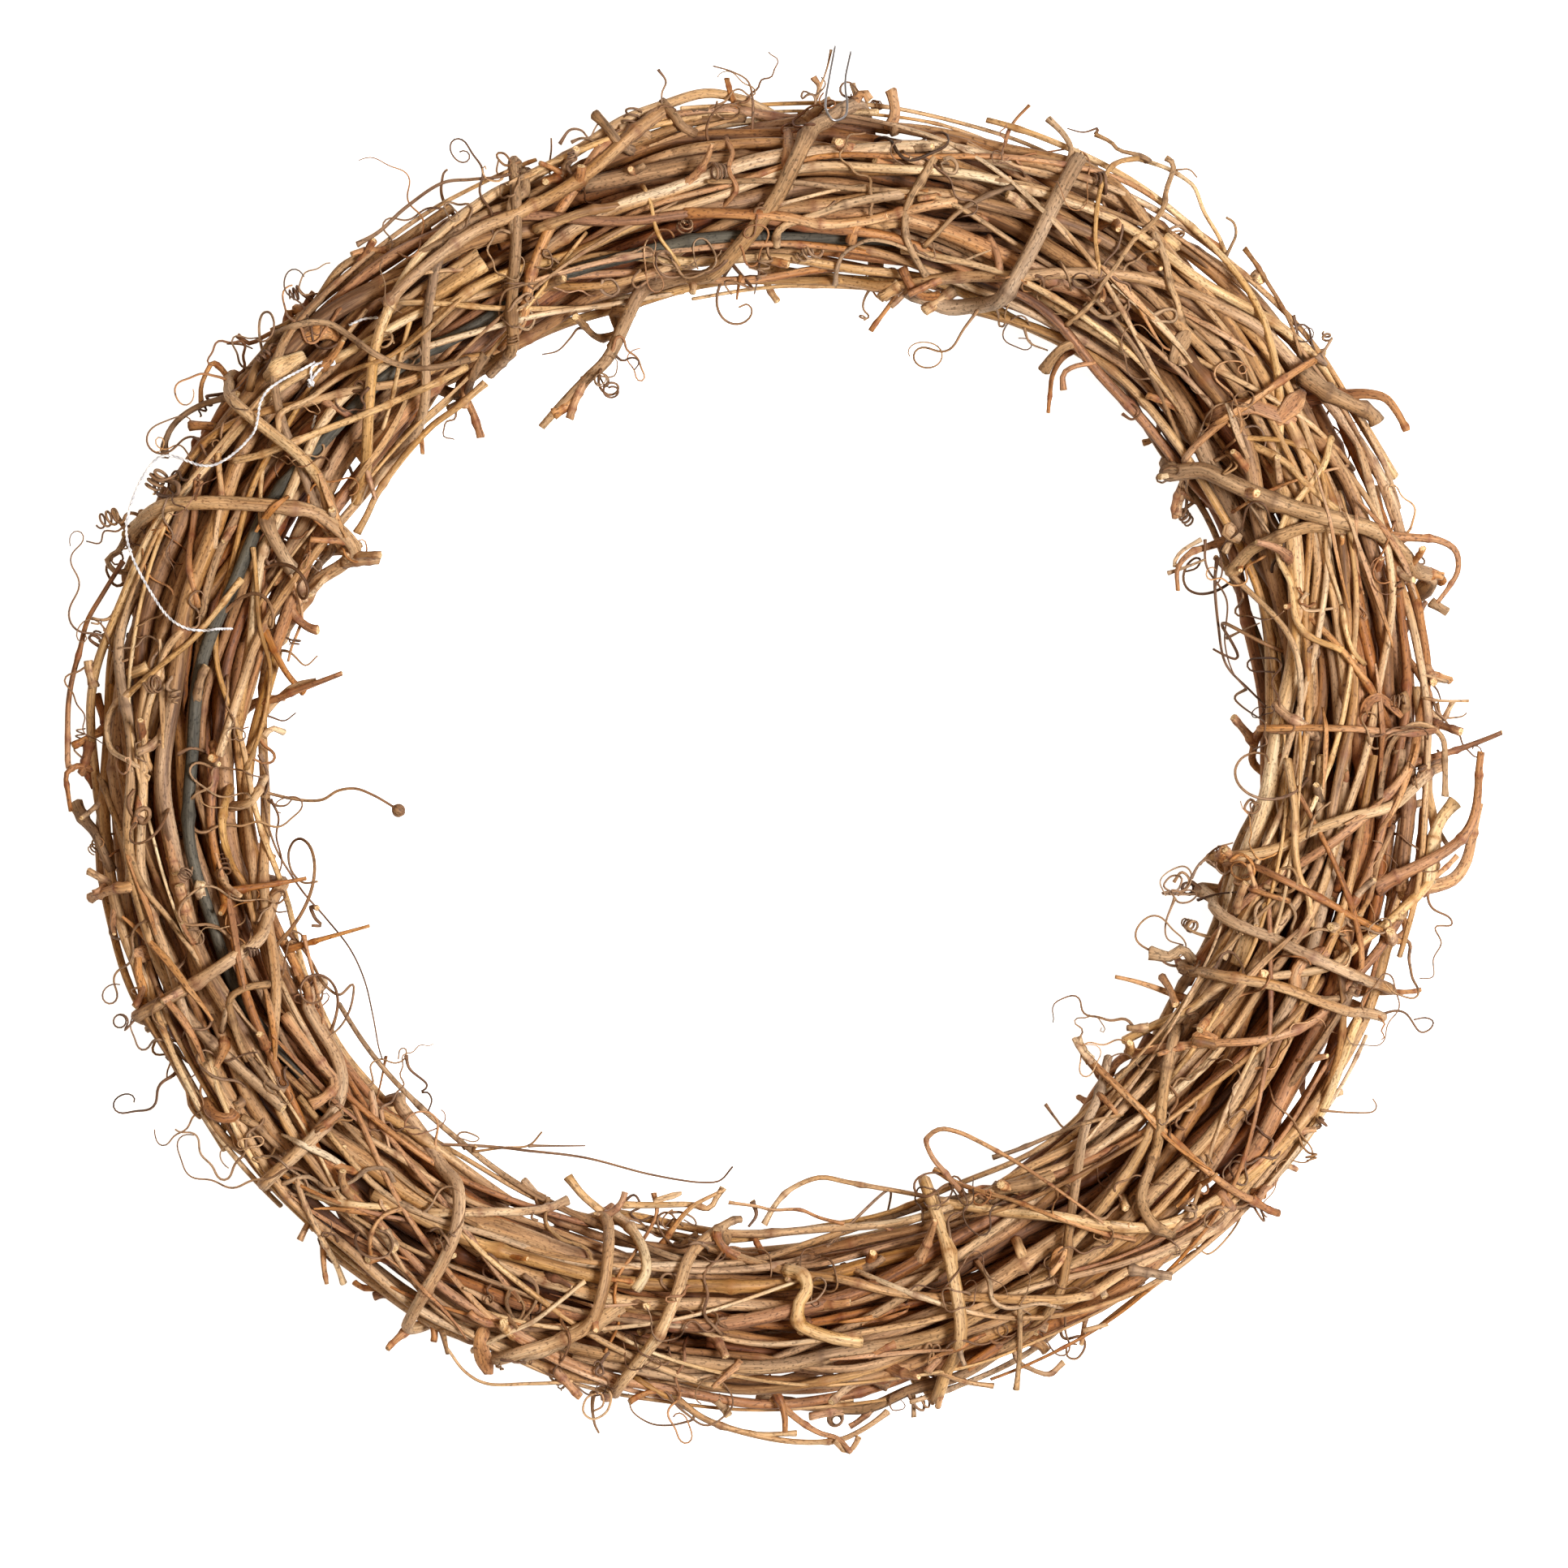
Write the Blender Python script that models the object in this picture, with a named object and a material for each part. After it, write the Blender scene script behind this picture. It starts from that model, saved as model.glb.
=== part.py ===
# A wreath of dried vines: long canes wound round and round into a ring, lashed by binding
# vines that pass over its front and behind it, with broken side shoots and curling tendrils.
# It lies flat with its front up. Metres, +Z up, origin at the middle of its underside.
import math

import bmesh
import bpy
import numpy as np

MM = 0.001
DEG = math.pi / 180
SEED = 7

# The ring: a slightly lopsided circle through the middle of the bundle of canes
RING_RADIUS = 146 * MM
OVAL_RISE, OVAL_TURN = 3.7 * MM, 25 * DEG
EGG_RISE, EGG_TURN = 1.8 * MM, 54 * DEG
HALF_WIDTH = 25.0 * MM
WIDTH_RISE, WIDTH_TURN = 1.5 * MM, -14 * DEG
HALF_HEIGHT = 18.5 * MM
RING_CENTRE = (-3.5 * MM, -1.0 * MM)
RING_LIFT = 26.0 * MM

# Canes: how many of a kind, their thickness, and how often each goes round the ring
CANE_KINDS = (
    {"name": "thick_cane", "count": 8, "diameter": 5.4 * MM, "turns": 0.98, "sides": 5},
    {"name": "cane", "count": 18, "diameter": 4.0 * MM, "turns": 1.02, "sides": 4},
    {"name": "slim_cane", "count": 9, "diameter": 2.9 * MM, "turns": 1.05, "sides": 4},
)
STATIONS = 30
SETTLE_ROUNDS = 700
GAP = 0.35 * MM

# Canes led along the front: from one ring angle to the next, at these distances outwards
LED_CANES = {
    "thick_cane_1": {"angles": (150, 222), "across": (1 * MM, 6 * MM)},
    "cane_1": {"angles": (72, 200), "across": (-15 * MM, -3 * MM)},
}

# Stray vines wander round the outside of the bundle, under the binding vines
STRAYS = 12
STRAY = {"diameter": (2.1, 3.1), "span": (38, 75), "sweep": (150, 260), "sides": 4}
STRAY_STEP = 12 * MM

# Binding vines. A crossing of the front is (ring angle at the outer edge, at the inner edge).
# The first of a winding vine's crossings starts at the edge that "from" names
BINDERS = {
    "binder_red": {"diameter": 1.9 * MM, "from": "inner", "sides": 4, "crossings": (
        (319.6, 316.4), (344.0, 346.0), (364.0, 362.4), (395.8, 393.4))},
    "binder_foot": {"diameter": 3.2 * MM, "foot": 221.8, "knots": (
        (193.2, 245), (194.6, 190), (195.6, 160), (199.0, 138), (200.3, 112), (201.5, 84),
        (202.1, 54), (202.4, 30), (202.7, 0), (205.0, -90), (206.6, -180), (208.8, -213),
        (212.6, -212), (215.9, -219), (218.4, -238), (219.7, -263), (220.2, -297),
        (220.4, -320), (220.7, -360), (221.8, -450), (222.9, -540), (224.4, -565),
        (226.5, -564), (229.8, -576), (233.5, -596), (236.4, -621), (237.2, -640),
        (237.6, -676), (238.2, -720), (244.0, -810), (250.4, -895), (252.1, -958),
        (252.9, -995), (250.5, -1017), (248.7, -1028), (246.9, -1039), (246.0, -1080),
        (255.0, -1165), (263.0, -1235), (265.2, -1265), (263.4, -1283), (261.3, -1300),
        (260.4, -1332), (258.7, -1368), (256.9, -1397), (256.2, -1440), (255.0, -1510))},
    "binder_top": {"diameter": 4.0 * MM, "foot": 79, "knots": (
        (59.5, -75), (62.2, 0), (62.6, 53), (62.5, 83), (62.5, 110), (63.2, 127), (64.4, 148),
        (67.3, 172), (71.5, 182), (74.5, 192), (77.0, 220), (79.0, 270), (81.5, 330),
        (84.0, 378), (87.0, 433), (90.6, 468), (95.3, 490), (101.7, 516), (105.5, 530)),
        "free_end": ((111, -31, 9), (118, -36, 8), (124.6, -40, 8))},
    "binder_right": {"diameter": 2.9 * MM, "foot": 335.6, "knots": (
        (344.5, 245), (342.6, 190), (341.4, 162), (340.4, 136), (340.1, 105), (339.5, 86),
        (339.5, 57), (339.6, 15), (339.0, -25), (336.5, -70), (334.3, -130), (333.0, -180),
        (333.4, -210), (334.3, -244), (336.0, -268), (336.0, -292), (336.4, -320),
        (336.9, -350), (337.0, -372), (337.0, -398))},
    "binder_upper": {"diameter": 3.0 * MM, "knots": (
        (111.5, -60), (112.6, 0), (113.4, 42), (114.8, 63), (117.5, 95), (121.2, 123),
        (124.2, 142), (128.0, 160), (131.0, 200), (133.0, 240))},
    "binder_pale": {"diameter": 3.4 * MM, "knots": (
        (283.0, -70), (284.6, 0), (285.6, 28), (288.2, 68), (289.5, 103), (290.3, 131),
        (290.2, 172), (289.5, 215), (289.0, 250))},
    "binder_thick": {"diameter": 4.3 * MM, "knots": (
        (12.0, -75), (15.0, -15), (16.9, 23), (19.7, 48), (22.8, 82), (27.3, 109),
        (33.0, 136), (35.5, 165), (37.0, 220))},
    "binder_low_right": {"diameter": 3.0 * MM, "knots": (
        (345.5, 250), (346.6, 180), (348.2, 139), (351.4, 113), (353.7, 89), (354.8, 73),
        (358.0, 28), (358.9, 0), (360.0, -60))},
    "binder_slant": {"diameter": 2.9 * MM, "knots": (
        (142.5, -75), (144.6, -20), (145.3, 8), (145.9, 35), (147.0, 84), (148.5, 118),
        (151.5, 145), (153.9, 165), (155.6, 200), (157.0, 245))},
    "binder_bent": {"diameter": 3.5 * MM, "knots": (
        (165.0, -75), (162.0, -35), (159.9, 0), (157.9, 44), (153.4, 102), (151.6, 124),
        (153.2, 148), (157.0, 168), (161.2, 176), (164.5, 185), (167.0, 215), (168.5, 250))},
}
BINDER_TAIL = 75
LEAST_REACH = 0.8
BINDER_STEP = 8.5 * MM
BINDER_SIDES = 5
SLACK_ROUNDS = 60
LEG_SHARES = (0, 0.17, 0.33, 0.5, 0.67, 0.83, 1)
FOOT_SINK = 0.9 * MM
FOOT_SPREAD = 9 * MM
FOOT_BEHIND = -0.6
NEAR_ANGLE = 9 * DEG
FLOOR_GAP = 0.9 * MM

# Shoots that show on the real wreath, as points from the ring's middle in millimetres
SHOOTS = {
    "knob_tendril": {"width": 1.1, "points": (
        (-124, -9, 24), (-120, -11, 25), (-113, -11, 27), (-107, -8, 29), (-100, -10, 29),
        (-95, -13, 28), (-92, -15, 28)), "knob": 3.6},
    "left_branch": {"width": 2.2, "points": ((-126, 13, 28), (-121, 16, 29), (-108, 21, 31))},
    "left_stub": {"width": 2.0, "points": ((-126, -32, 25), (-117, -31, 26))},
    "left_twig": {"width": 1.7, "points": ((-121, -48, 28), (-112, -46, 29), (-101, -43, 31))},
    "long_tendril": {"width": 1.0, "points": (
        (-82, -92, 26), (-71, -99, 27), (-61, -100, 28), (-47, -102, 28), (-30, -106, 29),
        (-14, -108, 30), (-9, -104, 31))},
    "low_twig": {"width": 1.8, "points": ((-26, -118, 26), (-20, -115, 27), (-11, -110, 28))},
    "low_loop": {"width": 1.5, "points": (
        (49, -109, 29), (40, -99, 32), (45, -94, 35), (60, -101, 38), (73, -109, 46),
        (84, -117, 48.5))},
    "right_stick": {"width": 2.0, "points": ((104, -61, 27), (96, -58, 28), (88, -56, 29))},
    "right_stub": {"width": 2.2, "points": ((113, 52, 27), (105, 50, 27), (104, 42, 27))},
    "claw": {"width": 1.9, "points": ((80, 103, 27), (73, 99, 28), (71, 87, 29))},
    "top_tendril": {"width": 0.9, "points": (
        (-4, 162, 28), (-4, 166, 29), (-6, 172, 29), (-14, 175, 29))},
    "top_stub": {"width": 3.2, "points": ((-20, 156, 26), (-27, 161, 27), (-31, 165, 28))},
    "grey_end": {"width": 3.8, "points": ((145, 95, 30), (154, 91, 34), (161, 82, 36))},
    "outer_loop": {"width": 2.4, "points": (
        (162, 57, 28), (172, 54, 29), (175, 47, 28), (170, 39, 26))},
    "right_end": {"width": 2.2, "points": ((168, -2, 27), (176, 2, 28), (186, 6, 30))},
    "flared_end": {"width": 4.1, "points": ((168, -40, 28), (176, -30, 25), (181, -12, 26))},
    "flared_twin": {"width": 3.8, "points": ((168, -36, 32), (176, -20, 34), (180, 1, 36))},
    "low_hook": {"width": 2.0, "points": (
        (0, -168, 24), (11, -171, 25), (19, -174, 26), (21, -177, 27))},
    "low_stub": {"width": 2.0, "points": ((-112, -120, 26), (-113, -127, 27), (-112, -134, 28))},
    "outer_left": {"width": 2.0, "points": ((-172, -4, 26), (-178, -3, 27), (-177, -14, 28))},
}
SHOOT_STEP = 5 * MM
SHOOT_SAMPLES = 120
SHOOT_DRIFT = 0.28
NEAR = 8 * MM
THIN_SHOOT = 1.8 * MM
ROOT_SEARCH = 16 * MM
ROOT_ROOM = 3 * MM
SHOOT_LIFTS = (0, 3, -3, 6, -6, 9, -9, 12, -12)

# Side shoots and tendrils that a rule places: a stub on every cane, a tendril on every other
STUB_EVERY = 1
TENDRIL_EVERY = 2
STUB = {"width": (1.7, 3.0), "length": (8, 17), "bend": (-0.9, 0.9), "curl": (-0.6, 0.6),
        "points": 4, "sides": 4}
TENDRIL = {"width": (0.9, 1.2), "length": (26, 58), "bend": (-1.5, 1.5), "curl": (5.0, 8.5),
           "points": 12, "sides": 3}
SHOOT_TRIES = 60
TIP_SHARE = 0.5
REACH_IN = 104 * MM
REACH_OUT = 176 * MM
REACH_UP = 52 * MM
REACH_DOWN = 2.5 * MM

# A cotton thread lies over the upper left, and a hanging wire is hooked on an outer cane
THREAD_WIDTH = 0.8 * MM
THREAD_ROUTE = ((-114, 99), (-126, 91), (-129, 81), (-140, 73), (-154, 75), (-162, 57),
                (-154, 39), (-146, 32), (-135, 32))
WIRE_ROUTE = ((17, 180.4), (15.5, 172), (14.5, 165), (15.5, 161), (18.5, 160.5), (20, 164),
              (19.5, 171), (21, 179))
DRAPE_STEP = 3.5 * MM

LINE_SAMPLES = 24
WELD = 0.001 * MM
SHARP = 85 * DEG
BARK = {
    "vine_tan": {"colour": (0.32, 0.17, 0.085), "roughness": 0.72},
    "vine_golden": {"colour": (0.46, 0.26, 0.11), "roughness": 0.66},
    "vine_grey": {"colour": (0.22, 0.145, 0.09), "roughness": 0.8},
    "vine_dark": {"colour": (0.06, 0.055, 0.045), "roughness": 0.78},
    "vine_red": {"colour": (0.26, 0.10, 0.05), "roughness": 0.7},
    "cotton": {"colour": (0.8, 0.8, 0.82), "roughness": 0.85},
    "steel_wire": {"colour": (0.55, 0.55, 0.56), "roughness": 0.35, "metallic": 1.0},
}
CANE_BARK = ("vine_tan", "vine_golden", "vine_tan", "vine_grey", "vine_golden", "vine_tan",
             "vine_red")
LED_BARK = {"thick_cane_1": "vine_tan", "cane_1": "vine_dark"}
STRAY_BARK = ("vine_golden", "vine_red", "vine_tan", "vine_grey")
BINDER_BARK = {"binder_red": "vine_red", "binder_pale": "vine_golden", "binder_top": "vine_grey",
               "binder_upper": "vine_grey", "binder_thick": "vine_grey"}


def ring_radius(theta):
    return (RING_RADIUS + OVAL_RISE * np.cos(2 * (theta - OVAL_TURN))
            + EGG_RISE * np.cos(3 * (theta - EGG_TURN)))


def half_width(theta):
    return HALF_WIDTH + WIDTH_RISE * np.cos(theta - WIDTH_TURN)


def outward(theta):
    return np.stack([np.cos(theta), np.sin(theta), 0 * theta], -1)


def ring_points(theta, across, up):
    # Ring angle, distance outwards from the ring's mid-line and height above it, as x, y, z
    flat = (ring_radius(theta) + across)[..., None] * outward(theta)
    return flat + np.stack([RING_CENTRE[0] + 0 * theta, RING_CENTRE[1] + 0 * theta,
                            up + RING_LIFT + 0 * theta], -1)


def unit(vector):
    return vector / np.linalg.norm(vector, axis=-1, keepdims=True)


def smooth_line(knots, step, scale=(1, 1, 1)):
    # A flowing curve through the knots, as points about one step apart. Scale turns the knots'
    # own units into metres
    knots = np.asarray(knots, float)
    ends = np.concatenate([[2 * knots[0] - knots[1]], knots, [2 * knots[-1] - knots[-2]]])
    t = np.linspace(0, 1, LINE_SAMPLES, endpoint=False)[:, None]
    pieces = []
    for before, a, b, after in zip(ends, ends[1:], ends[2:], ends[3:]):
        bow = 2 * before - 5 * a + 4 * b - after
        pieces.append(a + 0.5 * (t * (b - before) + t ** 2 * bow
                                 + t ** 3 * (3 * a - before - 3 * b + after)))
    line = np.concatenate(pieces + [knots[-1:]])
    legs = np.linalg.norm(np.diff(line, axis=0) * np.asarray(scale[:knots.shape[1]]), axis=1)
    along = np.concatenate([[0], np.cumsum(legs)])
    count = max(3, int(round(along[-1] / step)) + 1)
    at = np.linspace(0, along[-1], count)
    return np.stack([np.interp(at, along, column) for column in line.T], 1)


def lay_out_canes():
    # Each cane's wish: where it would run through the bundle's sections, station by station
    rng = np.random.default_rng(SEED)
    canes = []
    for kind in CANE_KINDS:
        for number in range(1, kind["count"] + 1):
            radius = kind["diameter"] / 2
            name = f"{kind['name']}_{number}"
            steps = int(kind["turns"] * STATIONS * rng.uniform(0.88, 1.12))
            start = rng.integers(STATIONS)
            if name in LED_CANES:
                start = round(sum(LED_CANES[name]["angles"]) / 720 * STATIONS - steps / 2)
            station = start + np.arange(steps)
            theta = station * 2 * math.pi / STATIONS
            turned = theta - theta[0]
            side = rng.uniform(0, 2 * math.pi)
            side = side + rng.choice([-1, 1]) * rng.uniform(0.7, 1.7) * turned
            side += rng.uniform(0.3, 0.6) * np.sin(theta + rng.uniform(0, 6.28))
            side += rng.uniform(0.15, 0.4) * np.sin(2 * theta + rng.uniform(0, 6.28))
            depth = math.sqrt(rng.uniform(0.08, 1.0))
            depth = depth + 0.25 * np.sin(1.37 * theta + rng.uniform(0, 6.28))
            depth = np.clip(depth, 0.05, 1.0)
            wide, high = half_width(theta) - radius, HALF_HEIGHT - radius
            wish = np.stack([wide * depth * np.cos(side), high * depth * np.sin(side)], 1)
            hold = np.full(steps, 0.02)
            if name in LED_CANES:
                lead(LED_CANES[name], theta, wide, high, wish, hold)
            canes.append({"name": name, "sides": kind["sides"], "radius": np.full(steps, radius),
                          "station": station % STATIONS, "theta": theta, "wish": wish, "hold": hold})
    return canes


def lead(led, theta, wide, high, wish, hold):
    # Draws one pass of a cane to the top of the bundle between two ring angles
    low, top = led["angles"]
    first = math.ceil((math.degrees(theta[0]) - low) / 360)
    angle = np.degrees(theta) - 360 * first
    on = (angle >= low) & (angle <= top)
    across = np.interp(angle[on], led["angles"], led["across"])
    wish[on, 0] = across
    wish[on, 1] = high * np.sqrt(1 - (across / wide[on]) ** 2)
    hold[on] = 0.35


def settle(canes):
    # Pushes the canes apart in the ring's sections until no two of them touch, along the whole
    # stretch from one station to the next, and keeps them inside the bundle's oval
    sizes = [len(cane["station"]) for cane in canes]
    first = np.concatenate([[0], np.cumsum(sizes)])
    station = np.concatenate([cane["station"] for cane in canes])
    radius = np.concatenate([cane["radius"] for cane in canes])
    hold = np.concatenate([cane["hold"] for cane in canes])[:, None]
    wish = np.concatenate([cane["wish"] for cane in canes])
    place = wish.copy()
    onward = np.arange(len(place)) + 1
    onward[first[1:] - 1] -= 1
    passing = [np.nonzero(station == number)[0] for number in range(STATIONS)]
    pairs = [those[np.stack(np.triu_indices(len(those), 1))] for those in passing]
    a, b = np.concatenate(pairs, 1)
    a_next, b_next = onward[a], onward[b]
    theta = station * 2 * math.pi / STATIONS
    leg = ring_radius(theta[a]) * 2 * math.pi / STATIONS
    least = radius[a] + radius[b] + GAP
    oval = np.stack([half_width(theta) - radius, HALF_HEIGHT - radius], 1)
    inner = np.setdiff1d(np.arange(len(place)), np.concatenate([first[:-1], first[1:] - 1]))
    for number in range(SETTLE_ROUNDS):
        ease = max(0.0, 1 - number / (SETTLE_ROUNDS * 0.6))
        place += hold * ease * (wish - place)
        middle = (place[inner - 1] + place[inner + 1]) / 2
        stiff = 0.12 * ease + 0.04 * (number < SETTLE_ROUNDS * 0.9)
        place[inner] += stiff * (middle - place[inner])
        apart = place[a] - place[b]
        drift = place[a_next] - place[b_next] - apart
        t = np.clip(-(apart * drift).sum(1) / np.maximum((drift ** 2).sum(1), 1e-18), 0, 1)
        apart = apart + t[:, None] * drift
        distance = np.sqrt((apart ** 2).sum(1)) + 1e-12
        away = apart / distance[:, None]
        mean = (place[a_next] - place[a] + place[b_next] - place[b]) / 2
        slope = (mean * away).sum(1) / leg
        lack = least * np.sqrt(1 + slope ** 2) - distance
        hit = lack > 0
        push = away[hit] * (0.35 * lack[hit])[:, None]
        share = t[hit]
        evened = (1 - share) ** 2 + share ** 2
        near, far = ((1 - share) / evened)[:, None], (share / evened)[:, None]
        rows = np.concatenate([a[hit], a_next[hit], b[hit], b_next[hit]])
        moves = np.concatenate([push * near, push * far, -push * near, -push * far])
        for axis in (0, 1):
            place[:, axis] += np.bincount(rows, moves[:, axis], len(place))
        out = np.sqrt(((place / oval) ** 2).sum(1))
        over = out > 1
        place[over] *= (0.5 + 0.5 / out[over])[:, None]
    print(f"canes settled, closest pair {lack.max() / MM:.3f} mm short of its gap")
    for cane, start, size in zip(canes, first, sizes):
        cane["place"] = place[start:start + size]
        cane["points"] = ring_points(cane["theta"], cane["place"][:, 0], cane["place"][:, 1])


def beads(points, radii, spacing=1.0 * MM):
    # A tube as a row of balls, x, y, z and radius, for finding what lies near it
    legs = np.linalg.norm(np.diff(points, axis=0), axis=1)
    along = np.concatenate([[0], np.cumsum(legs)])
    at = np.linspace(0, along[-1], int(along[-1] / spacing) + 2)
    columns = [np.interp(at, along, column) for column in (*points.T, radii)]
    return np.stack(columns, 1)


def remember(crowd, points, radii, owner=-1):
    # Adds a tube to the crowd that whatever comes later has to clear
    row = beads(points, radii)
    crowd["balls"] = np.concatenate([crowd["balls"], row])
    crowd["owners"] = np.concatenate([crowd["owners"], np.full(len(row), owner)])


def winding(binder):
    # The knots of a vine that goes over the front at each crossing and behind in between, as
    # ring angle and section angle: 0 is the outer edge, 90 the front, 180 the inner edge
    inwards = binder["from"] == "outer"
    knots = []
    for number, (outer, inner) in enumerate(binder["crossings"]):
        if inwards:
            knots += [(outer, 360 * number), (inner, 360 * number + 180)]
        else:
            knots += [(inner, 180 - 360 * number), (outer, -360 * number)]
    way = 1 if inwards else -1
    (before, start), (after, end) = knots[0], knots[-1]
    if "free_end" not in binder:
        knots.append((after + 2.5, end + way * BINDER_TAIL))
    return [(before - 2.5, start - way * BINDER_TAIL)] + knots


def stray_knots(rng):
    # A slow slanting way over the front, or the back, of the bundle
    start, span = rng.uniform(0, 360), rng.uniform(*STRAY["span"])
    first, sweep = rng.uniform(-60, 0), rng.uniform(*STRAY["sweep"])
    share = np.linspace(0, 1, 5)
    swing = 22 * np.sin(share * math.pi * rng.uniform(1, 2.5) + rng.uniform(0, 6))
    angle = start + rng.choice([-1, 1]) * span * share
    return np.stack([angle, first + sweep * share + swing], 1)


def lay_binder(binder, balls, step):
    # A taut vine round the bundle: each point moves out along its ray until it, and the legs
    # on either side, clear every ball by the gap
    radius = binder["diameter"] / 2
    knots = binder["knots"] if "knots" in binder else winding(binder)
    metric = (DEG * RING_RADIUS, DEG * (HALF_WIDTH + HALF_HEIGHT) / 2)
    theta, side = smooth_line(knots, step, metric).T * DEG
    centre = ring_points(theta, 0 * theta, 0 * theta)
    ray = (half_width(theta) * np.cos(side))[:, None] * outward(theta)
    ray[:, 2] = HALF_HEIGHT * np.sin(side)
    length = np.linalg.norm(ray, axis=1)
    turn = np.arctan2(balls[:, 1] - RING_CENTRE[1], balls[:, 0] - RING_CENTRE[0])
    off = np.angle(np.exp(1j * (turn[:, None] - theta[None, ::2])))
    near = balls[np.abs(off).min(1) < NEAR_ANGLE]
    reach = np.full(len(theta), LEAST_REACH)
    for k in range(len(theta)):
        to = near[:, :3] - centre[k]
        along = to @ ray[k] / length[k]
        slack = (near[:, 3] + radius + GAP) ** 2 - ((to ** 2).sum(1) - along ** 2)
        met = slack > 0
        if met.any():
            reach[k] = max(reach[k], (along[met] + np.sqrt(slack[met])).max() / length[k])
    least = reach.copy()
    shrink = math.cos(np.abs(np.diff(side)).mean())
    for _ in range(SLACK_ROUNDS):
        reach[1:-1] = np.maximum(least[1:-1], shrink * (reach[:-2] + reach[2:]) / 2)
    points = centre + reach[:, None] * ray
    lift_off(points, ray / length[:, None], radius, near)
    points[:, 2] = np.maximum(points[:, 2], radius + FLOOR_GAP)
    if "foot" in binder:
        set_foot(binder["foot"], theta, side, radius, points)
    radii = np.full(len(points), radius)
    if "free_end" in binder:
        loose = ring_points(*(np.array(binder["free_end"]) * (DEG, MM, MM)).T)
        tail = smooth_line(np.concatenate([points[-2:], loose]), BINDER_STEP)[3:]
        points = np.concatenate([points, tail])
        taper = np.linspace(radius, TIP_SHARE * radius, len(tail) + 1)[1:]
        radii = np.concatenate([radii, taper])
    return points, radii


def lift_off(points, ways, radius, balls):
    # Moves each point along its way until the legs between the points clear every ball
    for _ in range(SLACK_ROUNDS):
        lack = np.zeros(len(points))
        for share in LEG_SHARES:
            for k, spot in enumerate(points[:-1] + share * np.diff(points, axis=0)):
                gap = (np.linalg.norm(balls[:, :3] - spot, axis=1) - balls[:, 3]).min()
                short = max(0.0, radius + GAP - gap)
                lack[k] = max(lack[k], short * (1.3 - share))
                lack[k + 1] = max(lack[k + 1], short * (0.3 + share))
        if lack.max() < 0.02 * MM:
            break
        points += lack[:, None] * ways


def set_foot(foot, theta, side, radius, points):
    # Behind the ring the vine sags to the ground, where its underside is cut flat later
    behind = np.sin(side) < FOOT_BEHIND
    off = np.where(behind, np.abs(theta - foot * DEG), math.inf)
    lowest = int(off.argmin())
    level = points[lowest:lowest + 2, :2]
    reach = np.linalg.norm(points[:, None, :2] - level, axis=2).min(1)
    drop = np.clip(1 - reach / FOOT_SPREAD, 0, 1) * behind
    points[:, 2] += drop * (radius - FOOT_SINK - points[:, 2])


def profile_curve(sides):
    # A regular polygon of unit radius, which a cane's tube takes as its section
    name = f"section_{sides}"
    if name in bpy.data.objects:
        return bpy.data.objects[name]
    curve = bpy.data.curves.new(name, "CURVE")
    curve.dimensions = "2D"
    line = curve.splines.new("POLY")
    line.points.add(sides - 1)
    for k, point in enumerate(line.points):
        turn = 2 * math.pi * k / sides
        point.co = (math.cos(turn), math.sin(turn), 0, 1)
    line.use_cyclic_u = True
    guide = bpy.data.objects.new(name, curve)
    guide.hide_render = True
    guide.display_type = "WIRE"
    bpy.context.collection.objects.link(guide)
    return guide


def make_tube(name, points, radii, sides, bark):
    # A closed tube with flat ends along the points, as a mesh object
    curve = bpy.data.curves.new(name + "_line", "CURVE")
    curve.dimensions = "3D"
    curve.twist_mode = "MINIMUM"
    curve.bevel_mode = "OBJECT"
    curve.bevel_object = profile_curve(sides)
    curve.use_fill_caps = True
    line = curve.splines.new("POLY")
    line.points.add(len(points) - 1)
    for point, place, radius in zip(line.points, points, radii):
        point.co = (*place, 1)
        point.radius = radius
    guide = bpy.data.objects.new(name + "_line", curve)
    bpy.context.collection.objects.link(guide)
    bpy.context.view_layer.update()
    graph = bpy.context.evaluated_depsgraph_get()
    mesh = bpy.data.meshes.new_from_object(guide.evaluated_get(graph))
    bpy.data.objects.remove(guide)
    bpy.data.curves.remove(curve)
    mesh.name = name
    weld(mesh)
    mesh.shade_smooth()
    mesh.set_sharp_from_angle(angle=SHARP)
    mesh.materials.clear()
    mesh.materials.append(bark)
    tube = bpy.data.objects.new(name, mesh)
    bpy.context.collection.objects.link(tube)
    return tube


def weld(mesh):
    bm = bmesh.new()
    bm.from_mesh(mesh)
    bmesh.ops.remove_doubles(bm, verts=bm.verts, dist=WELD)
    bmesh.ops.recalc_face_normals(bm, faces=bm.faces)
    bm.to_mesh(mesh)
    bm.free()


def make_bark(name):
    look = BARK[name]
    material = bpy.data.materials.new(name)
    material.use_nodes = True
    shader = material.node_tree.nodes["Principled BSDF"]
    shader.inputs["Base Color"].default_value = (*look["colour"], 1)
    shader.inputs["Roughness"].default_value = look["roughness"]
    shader.inputs["Metallic"].default_value = look.get("metallic", 0.0)
    return material


def clears(path, radii, balls):
    # Whether a tube along the path stays off every ball
    low, high = path.min(0) - NEAR, path.max(0) + NEAR
    near = balls[((balls[:, :3] > low) & (balls[:, :3] < high)).all(1)]
    if not len(near):
        return True
    line = beads(path, radii)
    gap = np.linalg.norm(line[:, None, :3] - near[None, :, :3], axis=2)
    return bool((gap > line[:, None, 3] + near[None, :, 3] + GAP).all())


def bare_root(crowd, owner, root, reach):
    # The balls to keep clear of: all but the shoot's own cane round its root
    close = np.linalg.norm(crowd["balls"][:, :3] - root, axis=1) < reach
    return crowd["balls"][~(close & (crowd["owners"] == owner))]


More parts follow.
